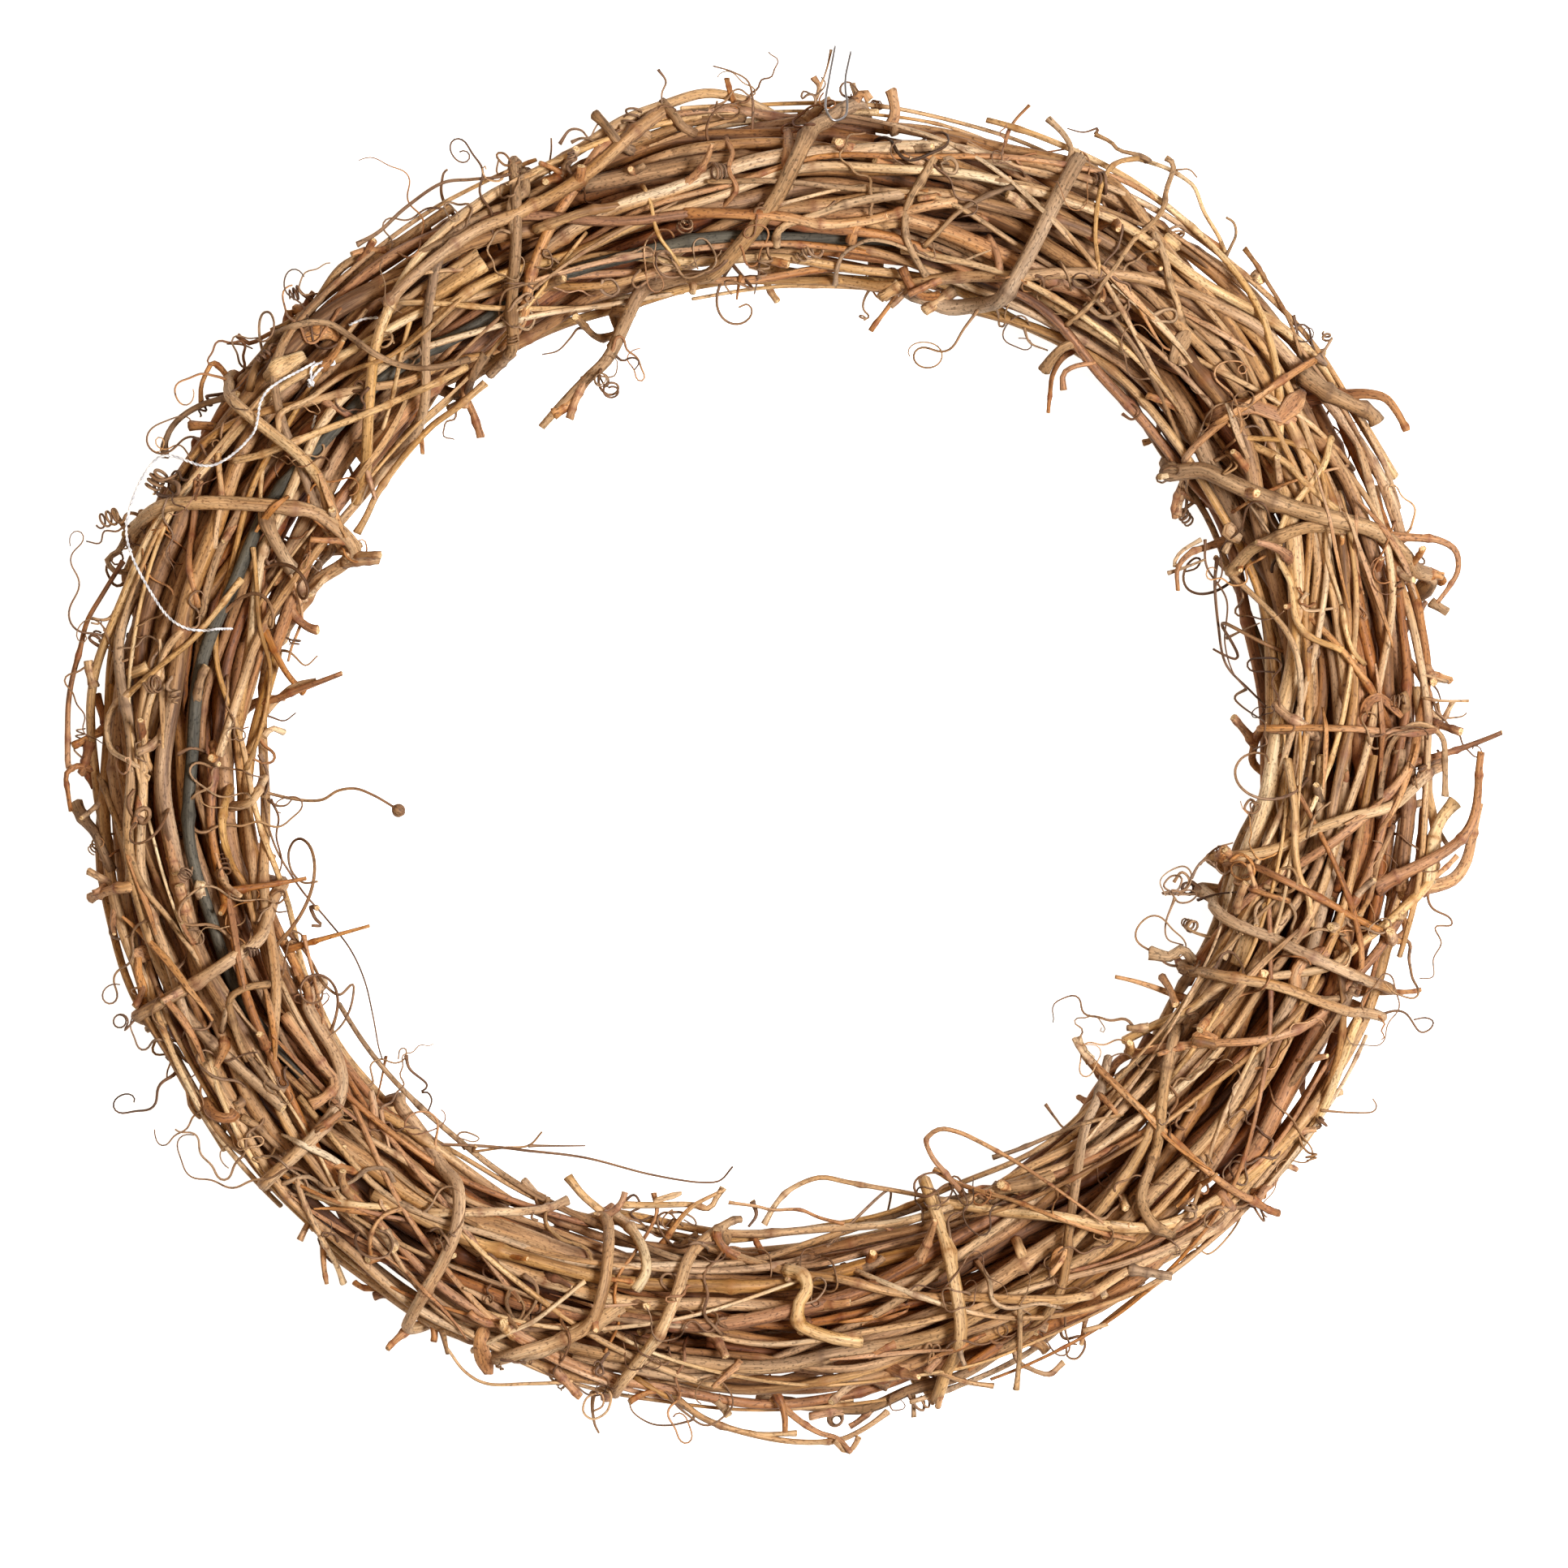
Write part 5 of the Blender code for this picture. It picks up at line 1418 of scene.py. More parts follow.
def addTendrils(maps):
    rng = np.random.default_rng(seed + 50)
    look = fineTendrils
    for root, way, kind in surfaceRoots(rng, look, maps):
        radius = rng.uniform(*look["width"]) * mm / 2
        length = rng.uniform(*look["length"]) * mm * (0.7 if kind == "edge" else 1)
        s = np.linspace(0, 1, look["points"])
        out = outward(np.float64(math.atan2(*(root[:2] - ring["centre"])[::-1])))[:2]
        out = out * (1 if awayFrom(root)[:2] @ out > 0 else -1)
        start = way[:2] + (0.9 if kind == "edge" else 0.3) * out * rng.uniform(0.2, 1.2)
        heading = math.atan2(start[1], start[0])
        heading = heading + rng.choice([-1, 1]) * rng.uniform(*look["curl"]) * s ** 2.4
        for pace in look["paces"]:
            sway = rng.uniform(*look["wave"]) * (look["paces"][0] / pace) ** 0.5
            heading += sway * np.sin(s * pace * rng.uniform(0.7, 1.4) + rng.uniform(0, wholeTurn))
        flat = trail(root, heading, length)
        heights = maps["back"] if kind == "back" else maps["front"]
        up = heights.rest(flat, radius, look["easeRounds"])
        if kind == "edge":
            level = root[2] + rng.uniform(-0.3, 0.5) * s * length * 0.3
            met = heights.read(flat, radius) > relief["bare"]
            up = np.where(met, np.maximum(up - 2 * mm, level), level)
            up[1:-1] = (up[:-2] + up[1:-1] + up[2:]) / 3
        up = up + heights.side * rng.uniform(*look["rise"]) * mm * s ** 2
        up[:8] = root[2] + (up[8] - root[2]) * np.linspace(0, 1, 8) ** 0.7
        points = levelled(flat, up)
        if standsInside(points, radius):
            brown = rng.random() < look["brownShare"]
            sweepTendril("tendril_brown" if brown else "vine_red", points, radius, rng)


def sweepTendril(finish, points, radius, rng, step=1.0, tip=0.5):
    points = points[np.concatenate([[True], lengths(points)[0] > 0.05 * mm])]
    radii = np.linspace(radius * 1.15, radius * tip, len(points))
    sweepVine(looseBundle(finish), points, radii, 5, rng, rng.uniform(*fineTendrils["tone"]),
              knots=False, form={"ringStep": step * mm, **fineTendrils["form"]},
              flare=fineTendrils["flare"])


def arched(t, start, bend, end):
    # The curve from start to end that leaves and arrives in the direction of the bend
    return (1 - t) ** 2 * start + 2 * t * (1 - t) * bend + t ** 2 * end


def addCoils(maps):
    rng = np.random.default_rng(seed + 60)
    for root, way, _ in surfaceRoots(rng, coils, maps):
        radius = rng.uniform(*coils["width"]) * mm / 2
        size = rng.uniform(*coils["radius"]) * mm
        turns = rng.uniform(*coils["turns"])
        t = np.linspace(0, turns * 2 * math.pi, int(turns * coils["perTurn"]))
        axis = unit(way + 0.8 * rng.normal(size=3))
        aside = unit(np.cross(axis, rng.normal(size=3)))
        third = np.cross(axis, aside)
        shrink = 1 - 0.5 * rng.random() * t / t[-1]
        lead = axis * rng.uniform(*coils["lead"]) * mm * 0.5
        middle = root + awayFrom(root) * (size + coils["clearance"]) + lead
        helix = (middle + (size * shrink * np.cos(t))[:, None] * aside
                 + (size * shrink * np.sin(t))[:, None] * third
                 + (rng.uniform(*coils["pitch"]) * mm * t / wholeTurn)[:, None] * axis)
        entry = helix[0] - unit(helix[1] - helix[0]) * coils["entry"]
        points = np.concatenate([arched(np.linspace(0, 1, 8)[:-1, None], root, entry, helix[0]),
                                 helix])
        if standsInside(points, radius):
            sweepTendril("tendril_brown", points, radius, rng, step=0.8, tip=0.7)


# Bark strips: thin dry ribbons of outer bark that have come away along a vine
strips = {
    "count": 90, "edgeShare": 0.1, "length": (10, 42), "width": (0.9, 2.2), "thin": 0.16,
    "lift": (0, 4), "points": 24, "easeRounds": 20, "tone": (0.4, 0.9),
    "form": {"ringStep": 1.6 * mm, "weave": 0, "ridge": 0.0},
}


def addStrips(maps):
    rng = np.random.default_rng(seed + 70)
    for number, (root, way, kind) in enumerate(surfaceRoots(rng, strips, maps)):
        length = rng.uniform(*strips["length"]) * mm
        radius = rng.uniform(*strips["width"]) * mm / 2
        s = np.linspace(0, 1, strips["points"])
        heading = math.atan2(way[1], way[0]) + rng.uniform(-0.5, 0.5) * s + rng.uniform(-0.2, 0.2)
        flat = trail(root, heading, length)
        heights = maps["back"] if kind == "back" else maps["front"]
        up = heights.rest(flat, radius * 0.5, strips["easeRounds"])
        up = up + heights.side * rng.uniform(*strips["lift"]) * mm * np.abs(2 * s - 1) ** 3
        points = levelled(flat, up)
        bare = (heights.read(flat, radius) < 0).any()
        if kind == "edge" or bare or not standsInside(points, radius):
            continue
        taper = radius * (0.35 + 0.65 * np.sin(math.pi * np.clip(s, 0.04, 0.96)))
        sweepVine(looseBundle("vine_red" if number % 3 else "vine_tan"), points, taper, 6, rng,
                  rng.uniform(*strips["tone"]), knots=False, flat=strips["thin"],
                  form=strips["form"])


# Twigs, forks and stray vines that stand out in the picture: for each its thickness, then the
# points that it passes, x and y in millimetres from the ring's middle as the camera sees them
tracedVines = {"vine_tan": (
    (3.1, -27, 164, -36, 157, -45, 149, -53, 143, -63, 138, -74, 134, -84, 127, -92, 120, -97,
     115),
    (1.85, -148, 33, -153, 27, -156, 17, -158, 9, -158, 0, -156, -6),
    (1.85, -128, 11, -124, 15, -120, 18, -114, 19),
    (1.45, -128, 5, -126, 7, -123, 6),
    (1.45, -121, -105, -118, -113, -114, -121, -110, -129, -108, -134),
    (2.05, -51, -113, -57, -115, -66, -116, -76, -116, -86, -116),
    (1.45, -37, -114, -29, -114, -20, -114, -15, -115, -13, -112, -11, -109),
    (1.45, -1, -119, 2, -114, 6, -110, 13, -107, 20, -108, 30, -110, 40, -112, 46, -113),
    (1.65, -24, -163, -17, -168, -8, -171, 6, -174, 17, -174, 24, -171, 31, -166),
    (1.45, 17, -174, 20, -177, 22, -175, 23, -173),
    (1.45, 65, -155, 71, -157, 75, -154),
    (1.25, 42, -156, 50, -159, 58, -160),
    (1.65, 159, -18, 155, -26, 153, -35, 150, -41),
    (1.05, 110, 55, 105, 52, 103, 49),
    (0.8, 165, 15, 171, 14, 174, 14, 178, 14),
    (1.25, 174, 14, 172, 10),
    (1.25, 121, 129, 124, 125, 127, 120, 130, 115, 133, 109, 135, 103, 137, 99),
), "vine_golden": (
    (1.05, -32, 145, -30, 141, -28, 133, -24, 127, -22, 123),
    (2.45, -59, 134, -53, 136, -47, 138, -37, 140),
    (2.05, -136, 75, -127, 77, -113, 83, -100, 88, -88, 93, -77, 99),
    (1.45, -124, 81, -124, 87, -116, 91, -107, 97, -96, 102, -86, 109, -77, 117),
    (1.25, -91, 111, -93, 103, -95, 93, -98, 83),
    (1.85, -72, 95, -79, 89, -86, 84, -92, 77, -99, 67, -102, 61, -105, 56),
    (1.65, -134, 45, -141, 36, -147, 29, -154, 23, -161, 17, -164, 14),
    (1.65, -159, 19, -166, 13, -168, 8, -167, 2, -163, -1, -158, -4),
    (1.05, -128, 77, -129, 68, -129, 58),
    (1.25, -131, 53, -130, 44, -129, 33, -127, 24, -127, 17, -128, 10, -130, 3, -133, -4),
    (2.9, -162, 21, -159, 22, -157, 23),
    (2.05, -137, -8, -138, -11, -139, -17, -138, -23, -136, -28, -133, -33, -131, -41, -130, -48),
    (2.25, -137, -13, -132, -12, -130, -10, -128, -5),
    (1.25, -75, -151, -67, -147, -59, -143, -51, -137, -46, -133),
    (2.05, -51, -107, -47, -112, -41, -117),
    (2.7, -39, -117, -35, -120, -32, -125, -31, -131, -34, -136),
    (3.3, 5, -131, 9, -132, 10, -136, 8, -139, 8, -144, 11, -146, 17, -148, 23, -149),
    (1.45, -34, -158, -24, -164, -14, -169, -3, -172, 8, -172),
    (1.25, 102, -121, 107, -116, 111, -105, 115, -94, 119, -84, 124, -74),
    (2.45, 63, -123, 65, -128),
    (1.85, 90, -112, 91, -115),
    (1.65, 87, -119, 95, -120),
    (1.85, 132, -1, 134, -14, 134, -24, 135, -31, 137, -35, 138, -43),
    (3.1, 168, -32, 169, -22, 171, -16, 175, -11),
    (1.25, 120, 81, 131, 80, 138, 76, 141, 70, 142, 60, 142, 51, 144, 44, 146, 38),
    (1.65, 143, 81, 141, 74, 135, 66, 131, 60, 130, 51, 133, 44, 134, 35, 138, 30, 146, 27),
    (1.45, 146, 38, 147, 31, 149, 26, 152, 23),
    (1.85, 123, 79, 131, 75, 137, 69, 145, 62),
    (1.25, 94, 152, 89, 151, 86, 148, 84, 142, 83, 132, 84, 124, 85, 120),
    (1.25, 94, 152, 100, 150, 104, 148, 108, 145, 109, 143, 111, 138, 115, 132, 117, 128),
    (2.9, 103, 130, 101, 132),
), "vine_red": (
    (1.25, -11, 157, -9, 153, -10, 149, -8, 144, -12, 139),
    (2.7, -21, 138, -10, 138, 3, 137, 13, 135, 24, 136, 36, 139, 48, 141),
    (1.25, -142, 99, -144, 94, -144, 89),
    (1.85, -147, 84, -144, 84, -140, 84),
    (1.25, -135, 107, -132, 105, -128, 107, -124, 109),
    (1.65, -113, 90, -109, 88, -104, 85),
    (2.05, -77, 91, -75, 87, -73, 81),
    (1.45, -163, 50, -168, 41, -172, 34, -174, 27, -176, 20, -177, 13, -177, 4, -177, -2),
    (1.85, -145, 70, -146, 58, -147, 48, -145, 38),
    (1.45, -140, 77, -139, 67, -140, 60, -141, 53),
    (1.85, -128, 32, -123, 22, -118, 16),
    (2.25, -161, -33, -167, -34, -172, -36),
    (2.9, -123, -66, -117, -74, -113, -79, -110, -83, -113, -87, -117, -89),
    (2.7, -143, -88, -141, -91, -137, -92, -135, -90),
    (1.65, -117, -119, -119, -123),
    (1.25, -101, -128, -101, -122, -98, -117, -93, -115),
    (0.8, -10, -113, -3, -114, 1, -115, 8, -115, 13, -117, 20, -119),
    (1.25, 42, -105, 49, -109, 63, -113, 75, -118, 84, -121, 94, -123),
    (1.45, 84, -86, 87, -89, 89, -92),
    (2.25, 115, -111, 118, -115),
    (2.45, 123, -111, 127, -111),
    (2.9, 134, -59, 134, -55, 137, -51, 142, -50),
    (1.45, 119, -32, 126, -35, 133, -37),
    (1.85, 100, -56, 102, -59, 104, -64),
    (0.8, 118, 62, 126, 67, 137, 71, 148, 74),
    (2.45, 129, 13, 132, 10, 136, 8, 139, 5),
    (1.45, 75, 93, 75, 97, 78, 99, 83, 100),
    (1.05, 26, 108, 29, 112, 32, 116),
    (0.8, 67, 166, 64, 163),
    (2.45, 31, 170, 32, 166),
    (2.05, 25, 168, 26, 166),
    (1.85, 56, 132, 58, 128, 59, 123),
    (2.05, 34, 124, 36, 120, 39, 117, 43, 117),
    (2.7, 5, 158, 5, 153, 5, 145),
    (2.45, 24, 136, 22, 134, 21, 131),
), "vine_grey": (
    (2.45, -44, 163, -41, 160, -38, 156, -35, 154),
    (2.7, -27, 166, -24, 163, -22, 160, -18, 158),
    (2.7, -63, 148, -62, 144, -65, 140, -64, 130, -65, 120, -66, 110),
    (1.85, -132, 93, -130, 99, -125, 107, -118, 110, -112, 110, -107, 107, -100, 102, -92, 99, -84,
     99, -76, 101),
    (2.25, -72, 102, -75, 97, -77, 91, -81, 88),
    (1.85, -135, 92, -144, 89, -150, 85, -153, 80, -153, 75),
    (1.65, -162, 58, -165, 52, -168, 50, -166, 47, -163, 47),
    (3.3, -128, 64, -127, 58, -124, 52, -121, 47),
    (1.45, -170, -5, -166, -16, -162, -25, -158, -34, -151, -43, -143, -55),
    (1.65, -127, -58, -133, -59, -137, -62, -136, -68, -134, -74, -132, -78),
    (1.45, -137, -62, -138, -66, -139, -70),
    (1.65, -134, -74, -130, -79, -127, -83, -123, -85),
    (1.85, -134, -92, -130, -94, -127, -97, -123, -101),
    (2.7, -176, -12, -174, -16, -171, -20, -167, -29),
    (1.25, -124, -109, -117, -107, -112, -110, -106, -108, -102, -105, -97, -105, -95, -109),
    (3.5, -38, -140, -44, -144, -50, -147, -57, -151, -63, -152),
    (1.25, 64, -139, 64, -150, 63, -161),
    (1.25, 37, -163, 37, -168),
    (2.9, 104, -69, 102, -77, 100, -88, 99, -97, 97, -105, 95, -113, 98, -119, 102, -121),
    (1.05, 57, -102, 63, -100, 73, -96, 82, -93, 90, -91),
    (2.9, 58, -110, 65, -109, 73, -107),
    (1.25, 80, -146, 84, -145, 87, -144),
    (1.65, 155, -15, 156, -5, 159, 4, 165, 8, 171, 5, 172, -2, 172, -11),
    (2.45, 97, -50, 102, -51, 105, -49, 108, -52),
    (3.5, 146, 58, 137, 58, 128, 55, 122, 52, 118, 47),
    (2.05, 168, 39, 173, 36),
    (0.8, 166, 21, 169, 20, 172, 19),
    (1.25, 101, 152, 103, 150, 101, 144, 100, 139, 97, 135, 93, 131, 89, 125, 85, 120, 82, 115, 75,
     109),
    (1.85, 98, 133, 101, 126, 102, 120, 104, 115, 105, 110),
    (2.7, 124, 122, 126, 121),
    (3.9, 136, 97, 141, 93, 147, 90, 153, 87, 155, 84),
    (2.45, 70, 98, 72, 101, 75, 104, 78, 105),
    (1.65, 71, 162, 75, 158, 77, 154, 76, 150),
    (1.05, 83, 158, 87, 156, 89, 154, 93, 153, 96, 152),
    (1.65, 32, 159, 33, 161),
    (1.85, 43, 154, 40, 148, 37, 143, 35, 138, 35, 132, 37, 127, 40, 122),
    (1.45, 63, 145, 55, 142, 48, 138, 43, 133, 39, 129),
    (2.05, 34, 143, 23, 141, 11, 137, 3, 134, 2, 129),
    (2.9, -40, 103, -38, 108, -39, 111),
    (1.85, -49, 111, -46, 108, -43, 106, -39, 107),
)}
# The tendrils that stand out, in the same way
tracedTendrils = {"tendril_brown": (
    (1.05, -104.5, 130, -98.5, 133.5, -92, 139.5, -83, 145.5, -75.5, 146.5, -69, 147, -63, 148.5),
    (0.8, -83, 145.5, -82.5, 148, -81.5, 149),
    (0.6, -63, 151, -66.5, 150, -68.5, 151.5, -69, 153, -67, 153, -65.5, 150.5, -67.5, 147.5, -69,
     148.5, -68.5, 151.5),
    (0.4, -55.5, 158, -55.5, 155, -56, 151.5),
    (0.5, -53, 155.5, -50.5, 159, -47.5, 159, -45.5, 157, -44, 159.5, -43, 161),
    (0.5, -50, 156, -47.5, 157, -45, 156.5, -42.5, 155),
    (0.4, -28, 174.5, -26, 171.5, -27, 168.5, -27, 165.5),
    (0.6, -137.5, 105, -133.5, 104.5, -131, 103.5),
    (0.4, -173, 54.5, -169.5, 54, -168.5, 57, -165.5, 57, -164, 58),
    (0.5, -120.5, 25.5, -117.5, 23, -114.5, 25.5),
    (0.4, -126.5, 10, -123, 9, -120, 11),
    (0.8, -129, 0.5, -127.5, -3, -127, -7, -128, -10),
    (0.7, -127, -11, -125, -12.5, -122.5, -12.5, -121, -11),
    (0.45, -128, -11, -126.5, -18.5, -124, -25.5, -118.5, -34, -112.5, -41, -106.5, -48.5, -102.5,
     -57, -100.5, -65.5, -99, -73.5, -98, -77),
    (0.45, -126.5, -11, -124.5, -15.5, -125, -20.5, -123.5, -26.5, -124.5, -31),
    (1.05, -116, -39.5, -115, -41.5, -113.5, -43, -116, -43),
    (0.8, -121.5, -45, -118.5, -48.5, -116, -52.5, -113.5, -57, -110.5, -60, -108.5, -60.5, -105.5,
     -58, -106, -63.5, -108.5, -68.5, -113.5, -73),
    (0.6, -123, -46.5, -121, -44.5, -118.5, -45.5, -119, -47.5, -121.5, -47, -122.5, -50.5, -123,
     -55.5),
    (0.6, -126.5, -35.5, -124, -34, -122.5, -35.5, -124.5, -37.5, -126.5, -37, -125, -39.5, -122.5,
     -39.5),
    (0.8, -167, -43.5, -167, -45.5, -165, -46.5, -162, -45.5),
    (0.6, -158.5, -58.5, -162, -59.5, -160, -61, -158, -61.5),
    (1.25, -159, -16.5, -160.5, -15, -159.5, -13.5, -157.5, -13.5, -157.5, -16, -159.5, -17, -162,
     -14, -162.5, -11, -161, -8.5),
    (1.25, -155.5, 70, -152.5, 70, -150, 69, -150, 66.5, -152.5, 66, -155, 66.5, -156, 68.5, -155,
     69.5),
    (0.8, -150, 0.5, -146.5, 2, -143, 1),
    (0.6, -100.5, -82, -101, -78.5, -98.5, -77, -95, -78, -92.5, -77, -92, -74.5, -93.5, -74.5,
     -94, -77),
    (0.6, -92, -76, -91, -79.5, -87, -83, -87, -84.5, -88.5, -85.5, -86.5, -85.5, -85.5, -87.5,
     -86.5, -90.5),
    (0.8, -74.5, -100.5, -67.5, -99.5, -61, -99, -57.5, -95.5),
    (0.4, -61, -99, -54, -99, -46.5, -99),
    (0.6, -77.5, -99.5, -79, -96.5, -77, -95.5, -73.5, -97, -75, -98, -78.5, -97),
    (0.8, -56.5, -112, -59, -111, -58.5, -114, -56.5, -114.5, -59, -115, -60, -117, -58.5, -118),
    (0.8, -74, -128, -71, -126.5, -68.5, -129, -70, -133, -72.5, -131.5, -71.5, -129, -69, -130),
    (1.45, -83, -146, -81.5, -152),
    (0.6, -35.5, -162, -34.5, -166.5, -30, -169.5, -25, -170, -20, -169),
    (1.05, -4, -113, -3, -116.5, -5, -119.5),
    (0.5, -36.5, -113, -34, -111.5, -32.5, -114.5, -35, -116, -32.5, -118, -29, -117, -26.5,
     -119.5, -24, -117.5, -21.5, -119.5),
    (0.5, -37, -117, -32.5, -118.5, -28, -122, -23, -121, -18.5, -122),
    (0.6, -25, -116, -22, -116, -19, -117.5, -18.5, -119.5, -21.5, -118),
    (0.7, 39.5, -151, 41, -149, 42, -152.5, 40.5, -154.5, 42, -150, 43.5, -150, 43.5, -154, 42,
     -154.5),
    (0.8, 76.5, -148, 79.5, -147.5, 80.5, -150, 78.5, -153, 76, -152.5, 76, -149.5, 78.5, -149.5),
    (0.6, 69, -129.5, 71, -130, 71.5, -132.5, 70, -133.5),
    (0.6, 119.5, -112.5, 120, -117, 116, -123, 112, -126.5, 109, -125.5, 104, -127.5),
    (0.4, 140.5, -90, 147, -90.5, 153, -90.5, 154.5, -89, 153.5, -87),
    (0.6, 70.5, -88.5, 73, -92, 75.5, -94.5, 80, -93),
    (0.6, 101, -35.5, 99.5, -32, 101.5, -29.5, 105.5, -28, 107.5, -30, 106.5, -33.5, 103, -34.5,
     100.5, -33, 102.5, -30.5, 105, -31, 104, -34, 101.5, -34.5),
    (0.6, 103, -32, 105, -29.5, 107, -31.5, 105, -34.5, 102.5, -34, 104, -37, 107, -37, 109, -35,
     106.5, -34, 104, -35.5),
    (0.6, 107.5, -31, 109.5, -27.5, 112, -26.5, 115.5, -30, 118.5, -28),
    (0.6, 109, -36.5, 114, -35, 120.5, -34.5),
    (0.5, 109.5, -27.5, 113.5, -23.5, 118, -22),
    (0.5, 103, -37, 101, -42.5, 101.5, -46.5, 105.5, -48),
    (0.6, 124, -12.5, 122.5, -11, 121, -13.5, 123.5, -14.5, 125, -12.5, 122.5, -12, 123, -16.5,
     121, -19),
    (0.6, 163, -66.5, 165.5, -70, 168, -69.5, 169, -67.5, 167, -66.5, 164, -67),
    (0.6, 170, -39.5, 173, -41, 173.5, -43, 169.5, -43.5, 171, -47.5, 169, -51.5, 169, -56, 165.5,
     -56.5),
    (0.8, 113.5, 50, 113, 43, 114, 33.5, 116, 23.5, 122, 17, 126.5, 12.5),
    (0.6, 111, 55, 111.5, 48, 116.5, 39.5, 116, 29, 118, 21.5, 121.5, 17),
    (0.6, 121.5, 17, 118.5, 15, 120.5, 12.5, 126.5, 8.5),
    (0.35, 116.5, 30, 120.5, 32, 124, 33.5),
    (0.8, 138, 26, 137, 27, 139, 28, 140, 26, 138, 24, 136.5, 26.5, 137.5, 29),
    (0.8, 113.5, 75, 117, 76.5, 118, 74.5, 115.5, 71.5, 119, 73.5, 118, 75.5),
    (0.35, 170, 13.5, 171.5, 10, 176, 10, 177.5, 11),
    (0.35, 167.5, 19.5, 170, 17, 171, 14.5),
    (1.05, 165.5, -3.5, 168, -2, 171, -1, 170, 1.5),
    (0.5, 133.5, 112, 134.5, 107.5, 136, 103),
    (1.85, 139.5, 101.5, 141.5, 99.5),
    (0.6, 90, 87, 92.5, 85.5, 94.5, 87.5, 92.5, 89.5),
    (0.8, 6.5, 140.5, 10, 139, 14.5, 139, 17, 141),
    (0.8, -32.5, 123.5, -34.5, 121, -33.5, 119, -30.5, 121, -29, 123.5, -28.5, 121),
    (0.8, -42, 121, -42.5, 118.5, -40, 117, -38, 118.5, -39.5, 121, -42, 121),
    (0.4, -57.5, 102, -53.5, 103, -50.5, 106, -49, 108),
    (0.5, -2, 127.5, -2.5, 122, -3.5, 117.5),
    (0.6, 65, 109, 66.5, 105, 71, 103),
    (0.6, 10, 168, 8.5, 167, 9, 169, 12, 168, 14.5, 170.5, 13.5, 172.5),
    (0.4, 16, 179.5, 15, 175, 13.5, 170.5, 12.5, 167),
    (0.6, 76, 159.5, 80, 158.5, 83.5, 159.5),
    (0.4, 104.5, 149, 107, 149, 109, 147),
), "vine_red": (
    (1.05, -122.5, 48.5, -119.5, 41.5, -118.5, 35, -121, 28, -122, 24),
    (1.05, -118, -45.5, -116.5, -52, -115, -58, -113.5, -63.5, -113, -68),
    (0.6, -98, -77, -99, -84, -100, -91),
    (1.05, -98.5, -90, -97, -96.5, -96, -101),
    (1.05, -29, -111, -28.5, -117, -33.5, -125.5, -38, -132, -39, -138, -38, -144, -41.5, -151.5),
    (0.8, 109.5, -111.5, 108, -110, 109, -108, 111.5, -109, 111.5, -111, 110, -111, 109, -110),
    (0.8, 117.5, -26.5, 120, -25, 122.5, -26.5, 123.5, -30, 121, -31.5, 118, -30, 118, -27.5,
     120.5, -27, 122.5, -29.5, 120.5, -30.5),
    (1.25, 92, 117.5, 94.5, 113.5, 97, 109, 100, 104.5, 102.5, 103),
    (0.8, -7, 122, -7.5, 119.5, -8, 116),
    (1.05, 11.5, 172.5, 13, 170, 12, 166.5, 14, 172),
), "vine_grey": (
    (1.05, -56, -112.5, -56.5, -118.5, -53, -122.5, -46.5, -125, -44.5, -129),
    (1.05, -65.5, -135.5, -66.5, -139, -64, -143.5, -62, -140, -64.5, -136, -65.5, -135),
    (1.05, -62, -132, -59, -134.5, -59, -138.5, -62, -143, -64, -144.5),
    (1.25, 53, -128.5, 56, -133, 57, -138, 61, -140, 69.5, -139, 75, -140.5),
    (1.05, 124, -43, 124, -38.5, 127.5, -36, 132, -37, 134, -40.5, 133, -44, 134.5, -46.5, 140,
     -44, 146.5, -45.5),
    (1.05, 126, -33, 132, -34.5, 134.5, -32, 133, -28.5, 129.5, -29),
    (0.8, 145.5, -46, 148, -49, 146.5, -53.5, 142, -52),
    (0.8, 137, -20.5, 139, -15, 143, -11.5),
    (0.8, 101.5, 46.5, 106, 48, 111, 50),
    (1.05, 137, 41.5, 135.5, 39.5, 137, 37, 143.5, 37.5),
    (0.95, 116, 136.5, 118, 135, 118.5, 132, 117, 128.5),
    (1.05, 80.5, 115, 85, 111.5, 89, 112.5, 92, 116, 90.5, 118.5, 88.5, 115.5, 90, 110.5),
    (1.05, 97, 111.5, 101, 113.5, 103.5, 113, 103, 110.5, 97.5, 110.5),
    (0.8, 108, 108, 114, 103.5, 118.5, 102.5, 121, 99, 122, 93),
    (0.8, 74, 125.5, 76, 122.5, 77, 118.5),
    (1.05, 17, 120, 17.5, 124, 19.5, 128, 25, 131, 30.5, 130.5, 36, 128.5, 42, 126, 48, 125.5,
     53.5, 127.5, 56.5, 128.5),
    (1.05, 44.5, 151.5, 46.5, 152, 48, 150, 47, 148, 44.5, 149, 44, 151, 46, 151),
    (0.7, -61, 115, -64, 113, -63.5, 109.5, -61, 108.5, -59.5, 111, -61, 113.5, -63, 112),
), "vine_tan": (
    (1.05, -81.5, -150.5, -77, -156.5, -71, -159.5, -61, -159.5, -50.5, -159),
    (0.8, -45, -162, -42.5, -160.5, -40, -162, -41, -166.5, -44.5, -168.5, -47, -166.5, -46, -163,
     -42.5, -162, -42, -165, -44.5, -166.5),
    (1.05, -44.5, -167.5, -44, -170, -43, -172),
), "cotton": (
    (0.6, -116, 95, -116, 98.5, -113.5, 100, -110.5, 100.5, -110.5, 99.5, -113, 99, -115, 97, -117,
     94.5),
    (1.05, -117, 94, -115.5, 95, -117, 95.5, -115.5, 94, -117, 95),
    (0.5, -106.5, 109.5, -103, 111, -99, 111.5),
    (0.5, -115, 86.5, -115.5, 84.5, -116, 83),
)}
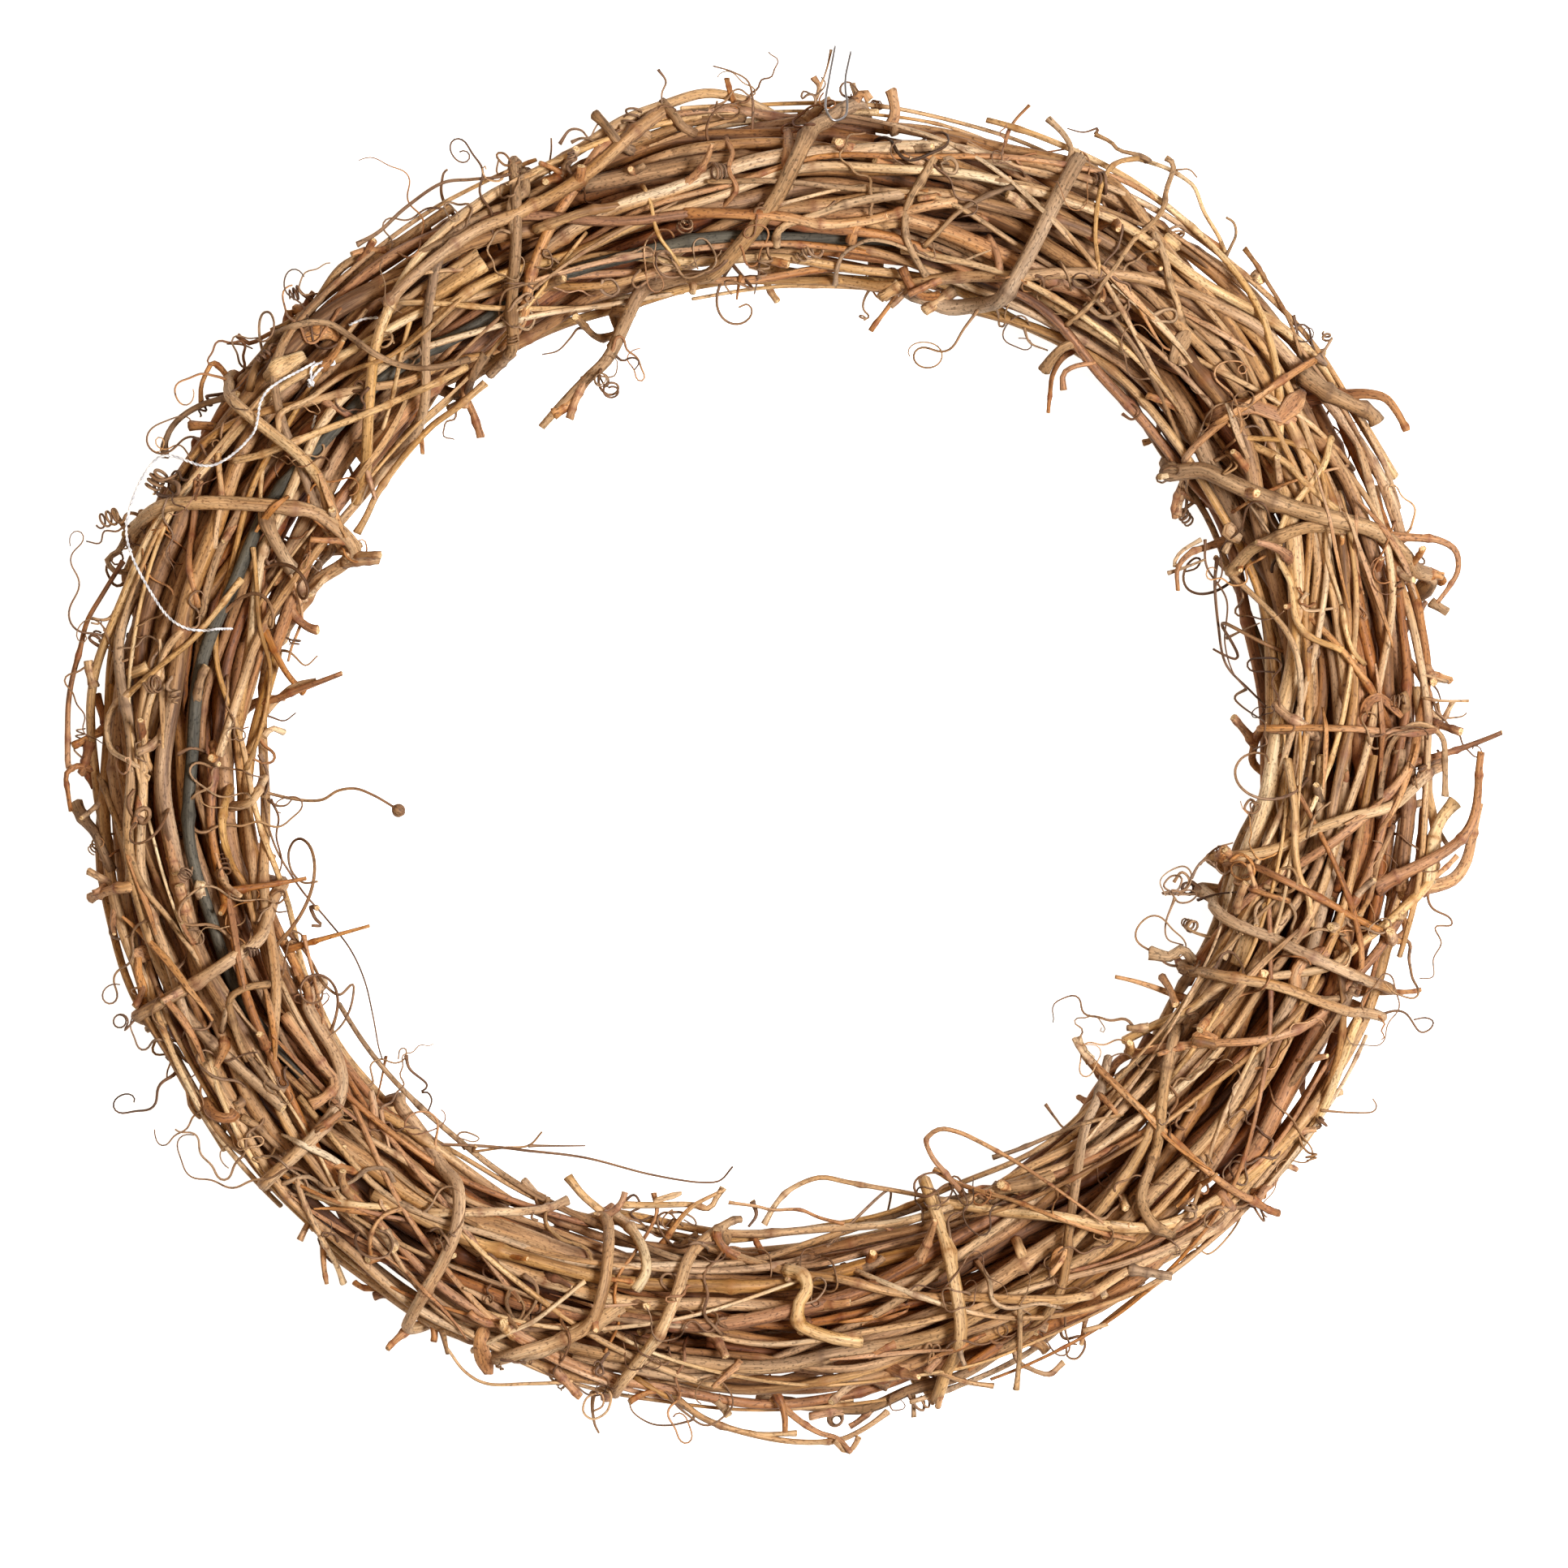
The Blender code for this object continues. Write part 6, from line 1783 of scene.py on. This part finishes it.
# Flaps of loose outer bark, in the same way
tracedFlaps = {"vine_red": (
    (4.55, -72, -145, -73, -150, -71, -157),
    (2.7, -160, -50, -160, -55, -159, -59, -159, -64, -161, -67),
    (4.55, -161, -50, -157, -51),
    (4.55, 111, 86, 117, 88, 123, 89, 129, 87, 134, 85),
    (4.55, 129, 85, 133, 89, 136, 93),
    (2.45, 151, 8, 152, 13, 155, 15, 158, 13, 161, 10),
    (3.7, -118, 106, -113, 108, -109, 106),
    (2.7, 72, -130, 74, -126, 75, -125),
    (3.3, 108, -74, 110, -71, 114, -72),
), "vine_grey": (
    (4.1, 103, 100, 105, 105, 107, 108),
), "vine_golden": (
    (4.95, -128, 96, -124, 99, -118, 102),
    (2.9, -157, -6, -159, -5),
    (1.85, -29, -113, -22, -111),
), "vine_tan": (
    (4.1, 120, 55, 117, 57, 118, 59),
)}
tracing = {
    "tuck": 7 * mm, "dive": 2.2 * mm, "sink": 0.5, "guess": 38 * mm,
    "step": 0.8 * mm, "easeRounds": 40, "touch": 0.2 * mm, "rootReach": 25 * mm,
    "vineForm": {"ringStep": 1.7 * mm, "weave": 0.25 * mm, "knotSpacing": (9, 34),
                 "knotReach": 1.2 * mm, "knotRise": 0.34, "ridge": 0.07},
    "flare": (0.28, 0.4), "stout": 2, "flapThin": 0.2, "finest": 0.6, "ripple": 0.35 * mm,
    "flapForm": {"ringStep": 1.2 * mm, "weave": 0, "ridge": 0.12},
    "tone": (0.35, 0.8), "flapTone": (0.4, 0.8),
}


def seenAt(flat, heights):
    # Points as the camera sees them at the wreath's mid height, brought to their own heights
    eye = np.array(shot["centre"])
    share = (shot["height"] - heights) / (shot["height"] - shot["level"])
    return eye + (flat - eye) * share[:, None]


laid = {"balls": np.concatenate([ballsWithout()] + [
    beads(shoot["points"], shoot["radii"]) for shoot in grown])}


def rooted(line, radius):
    # A line that touches nothing so far gets a short curved root into the nearest vine
    near = around(line, laid["balls"], tracing["rootReach"])
    gaps = np.linalg.norm(line[:, None] - near[None, :, :3], axis=2) - near[:, 3] - radius
    if gaps.min() > tracing["touch"]:
        if gaps[-1].min() < gaps[0].min():
            return rooted(line[::-1], radius)
        target = near[gaps[0].argmin(), :3]
        bend = line[0] + 0.5 * np.linalg.norm(target - line[0]) * unit(line[0] - line[3])
        root = arched(np.linspace(1, 0, 9)[:-1, None], line[0], bend, target)
        line = np.concatenate([root, line])
    laid["balls"] = np.concatenate([laid["balls"], beads(line, np.full(len(line), radius))])
    return line


def layTraced(points, radius, heights, tuck):
    # Lays a traced line over the bundle, with the ends that lie on it tucked in
    knots = np.reshape(points, (-1, 2)) * mm + np.array(ring["centre"])
    flat = smoothLine(knots, tracing["step"])
    up = np.full(len(flat), tracing["guess"])
    for _ in range(2):
        placed = seenAt(flat, up)
        up = heights.rest(placed, radius, tracing["easeRounds"]) - tracing["sink"] * radius
    if tuck:
        s = np.arange(len(flat)) * tracing["step"]
        held = heights.read(placed, radius) > relief["bare"]
        dive = np.clip(1 - np.minimum(s, s[-1] - s) / tracing["tuck"], 0, 1) ** 1.5
        up -= np.where(held, dive, 0) * min(tracing["dive"], 1.2 * radius + 0.3 * mm)
    up = np.clip(up, relief["bottom"], relief["top"] - radius)
    return rooted(np.column_stack([placed, up]), radius)


def addTraced(maps):
    rng = np.random.default_rng(seed + 80)
    for finish, lines in tracedVines.items():
        for width, *points in lines:
            radius = width * mm / 2
            line = layTraced(points, radius, maps["front"], True)
            start, end = radius * rng.uniform(1.0, 1.1), radius * rng.uniform(0.8, 0.95)
            radii = np.linspace(start, end, len(line))
            sides = 8 if width > tracing["stout"] else 6
            sweepVine(looseBundle(finish), line[::2], radii[::2], sides, rng,
                      rng.uniform(*tracing["tone"]), form=tracing["vineForm"],
                      flare=tracing["flare"])
    for finish, lines in tracedFlaps.items():
        for width, *points in lines:
            radius = width * mm / 2
            line = layTraced(points, 0.3 * radius, maps["front"], False)
            s = np.linspace(0, 1, len(line))
            ragged = 1 + 0.12 * np.sin(9 * s + rng.uniform(0, 6))
            radii = radius * (0.55 + 0.45 * np.sin(math.pi * s)) * ragged
            sweepVine(looseBundle(finish), line, radii, 10, rng, rng.uniform(*tracing["flapTone"]),
                      knots=False, flat=tracing["flapThin"], form=tracing["flapForm"])


def addTracedTendrils(maps):
    rng = np.random.default_rng(seed + 90)
    for finish, lines in tracedTendrils.items():
        for width, *points in lines:
            radius = max(width, tracing["finest"]) * mm / 2
            line = layTraced(points, radius, maps["front"], False)
            s = np.arange(len(line))
            line[:, 2] += tracing["ripple"] * np.sin(s / 3.0 + rng.uniform(0, 6))
            if finish == "cotton":
                sweepPlies(looseBundle(finish), line, rng)
                continue
            sweepTendril(finish, line, radius, rng, step=0.7, tip=0.7)


def heightMaps(*left):
    return {"front": HeightMap(ballsWithout(*left), 1), "back": HeightMap(ballsWithout(*left), -1)}


underBinders = heightMaps("binder")
layLooseVines(underBinders)
addTraced(underBinders)
maps = heightMaps()
addTracedTendrils(maps)
addSpurs(maps)
addTendrils(maps)
addCoils(maps)
addStrips(maps)
print("loose vines, spurs, tendrils, coils and bark strips laid")


# --- the loose pieces become one object for each finish
def makeLoosePieces():
    for finish, bundle in looseBundles.items():
        name = "trimmings_" + finish.split("_")[-1]
        makePiece(name, bundle, (finish, "cut_wood"))


makeLoosePieces()
shown = [piece for piece in bpy.data.objects if piece.type == "MESH" and not piece.hide_render]
print("triangles:", sum(len(face.vertices) - 2 for piece in shown for face in piece.data.polygons))
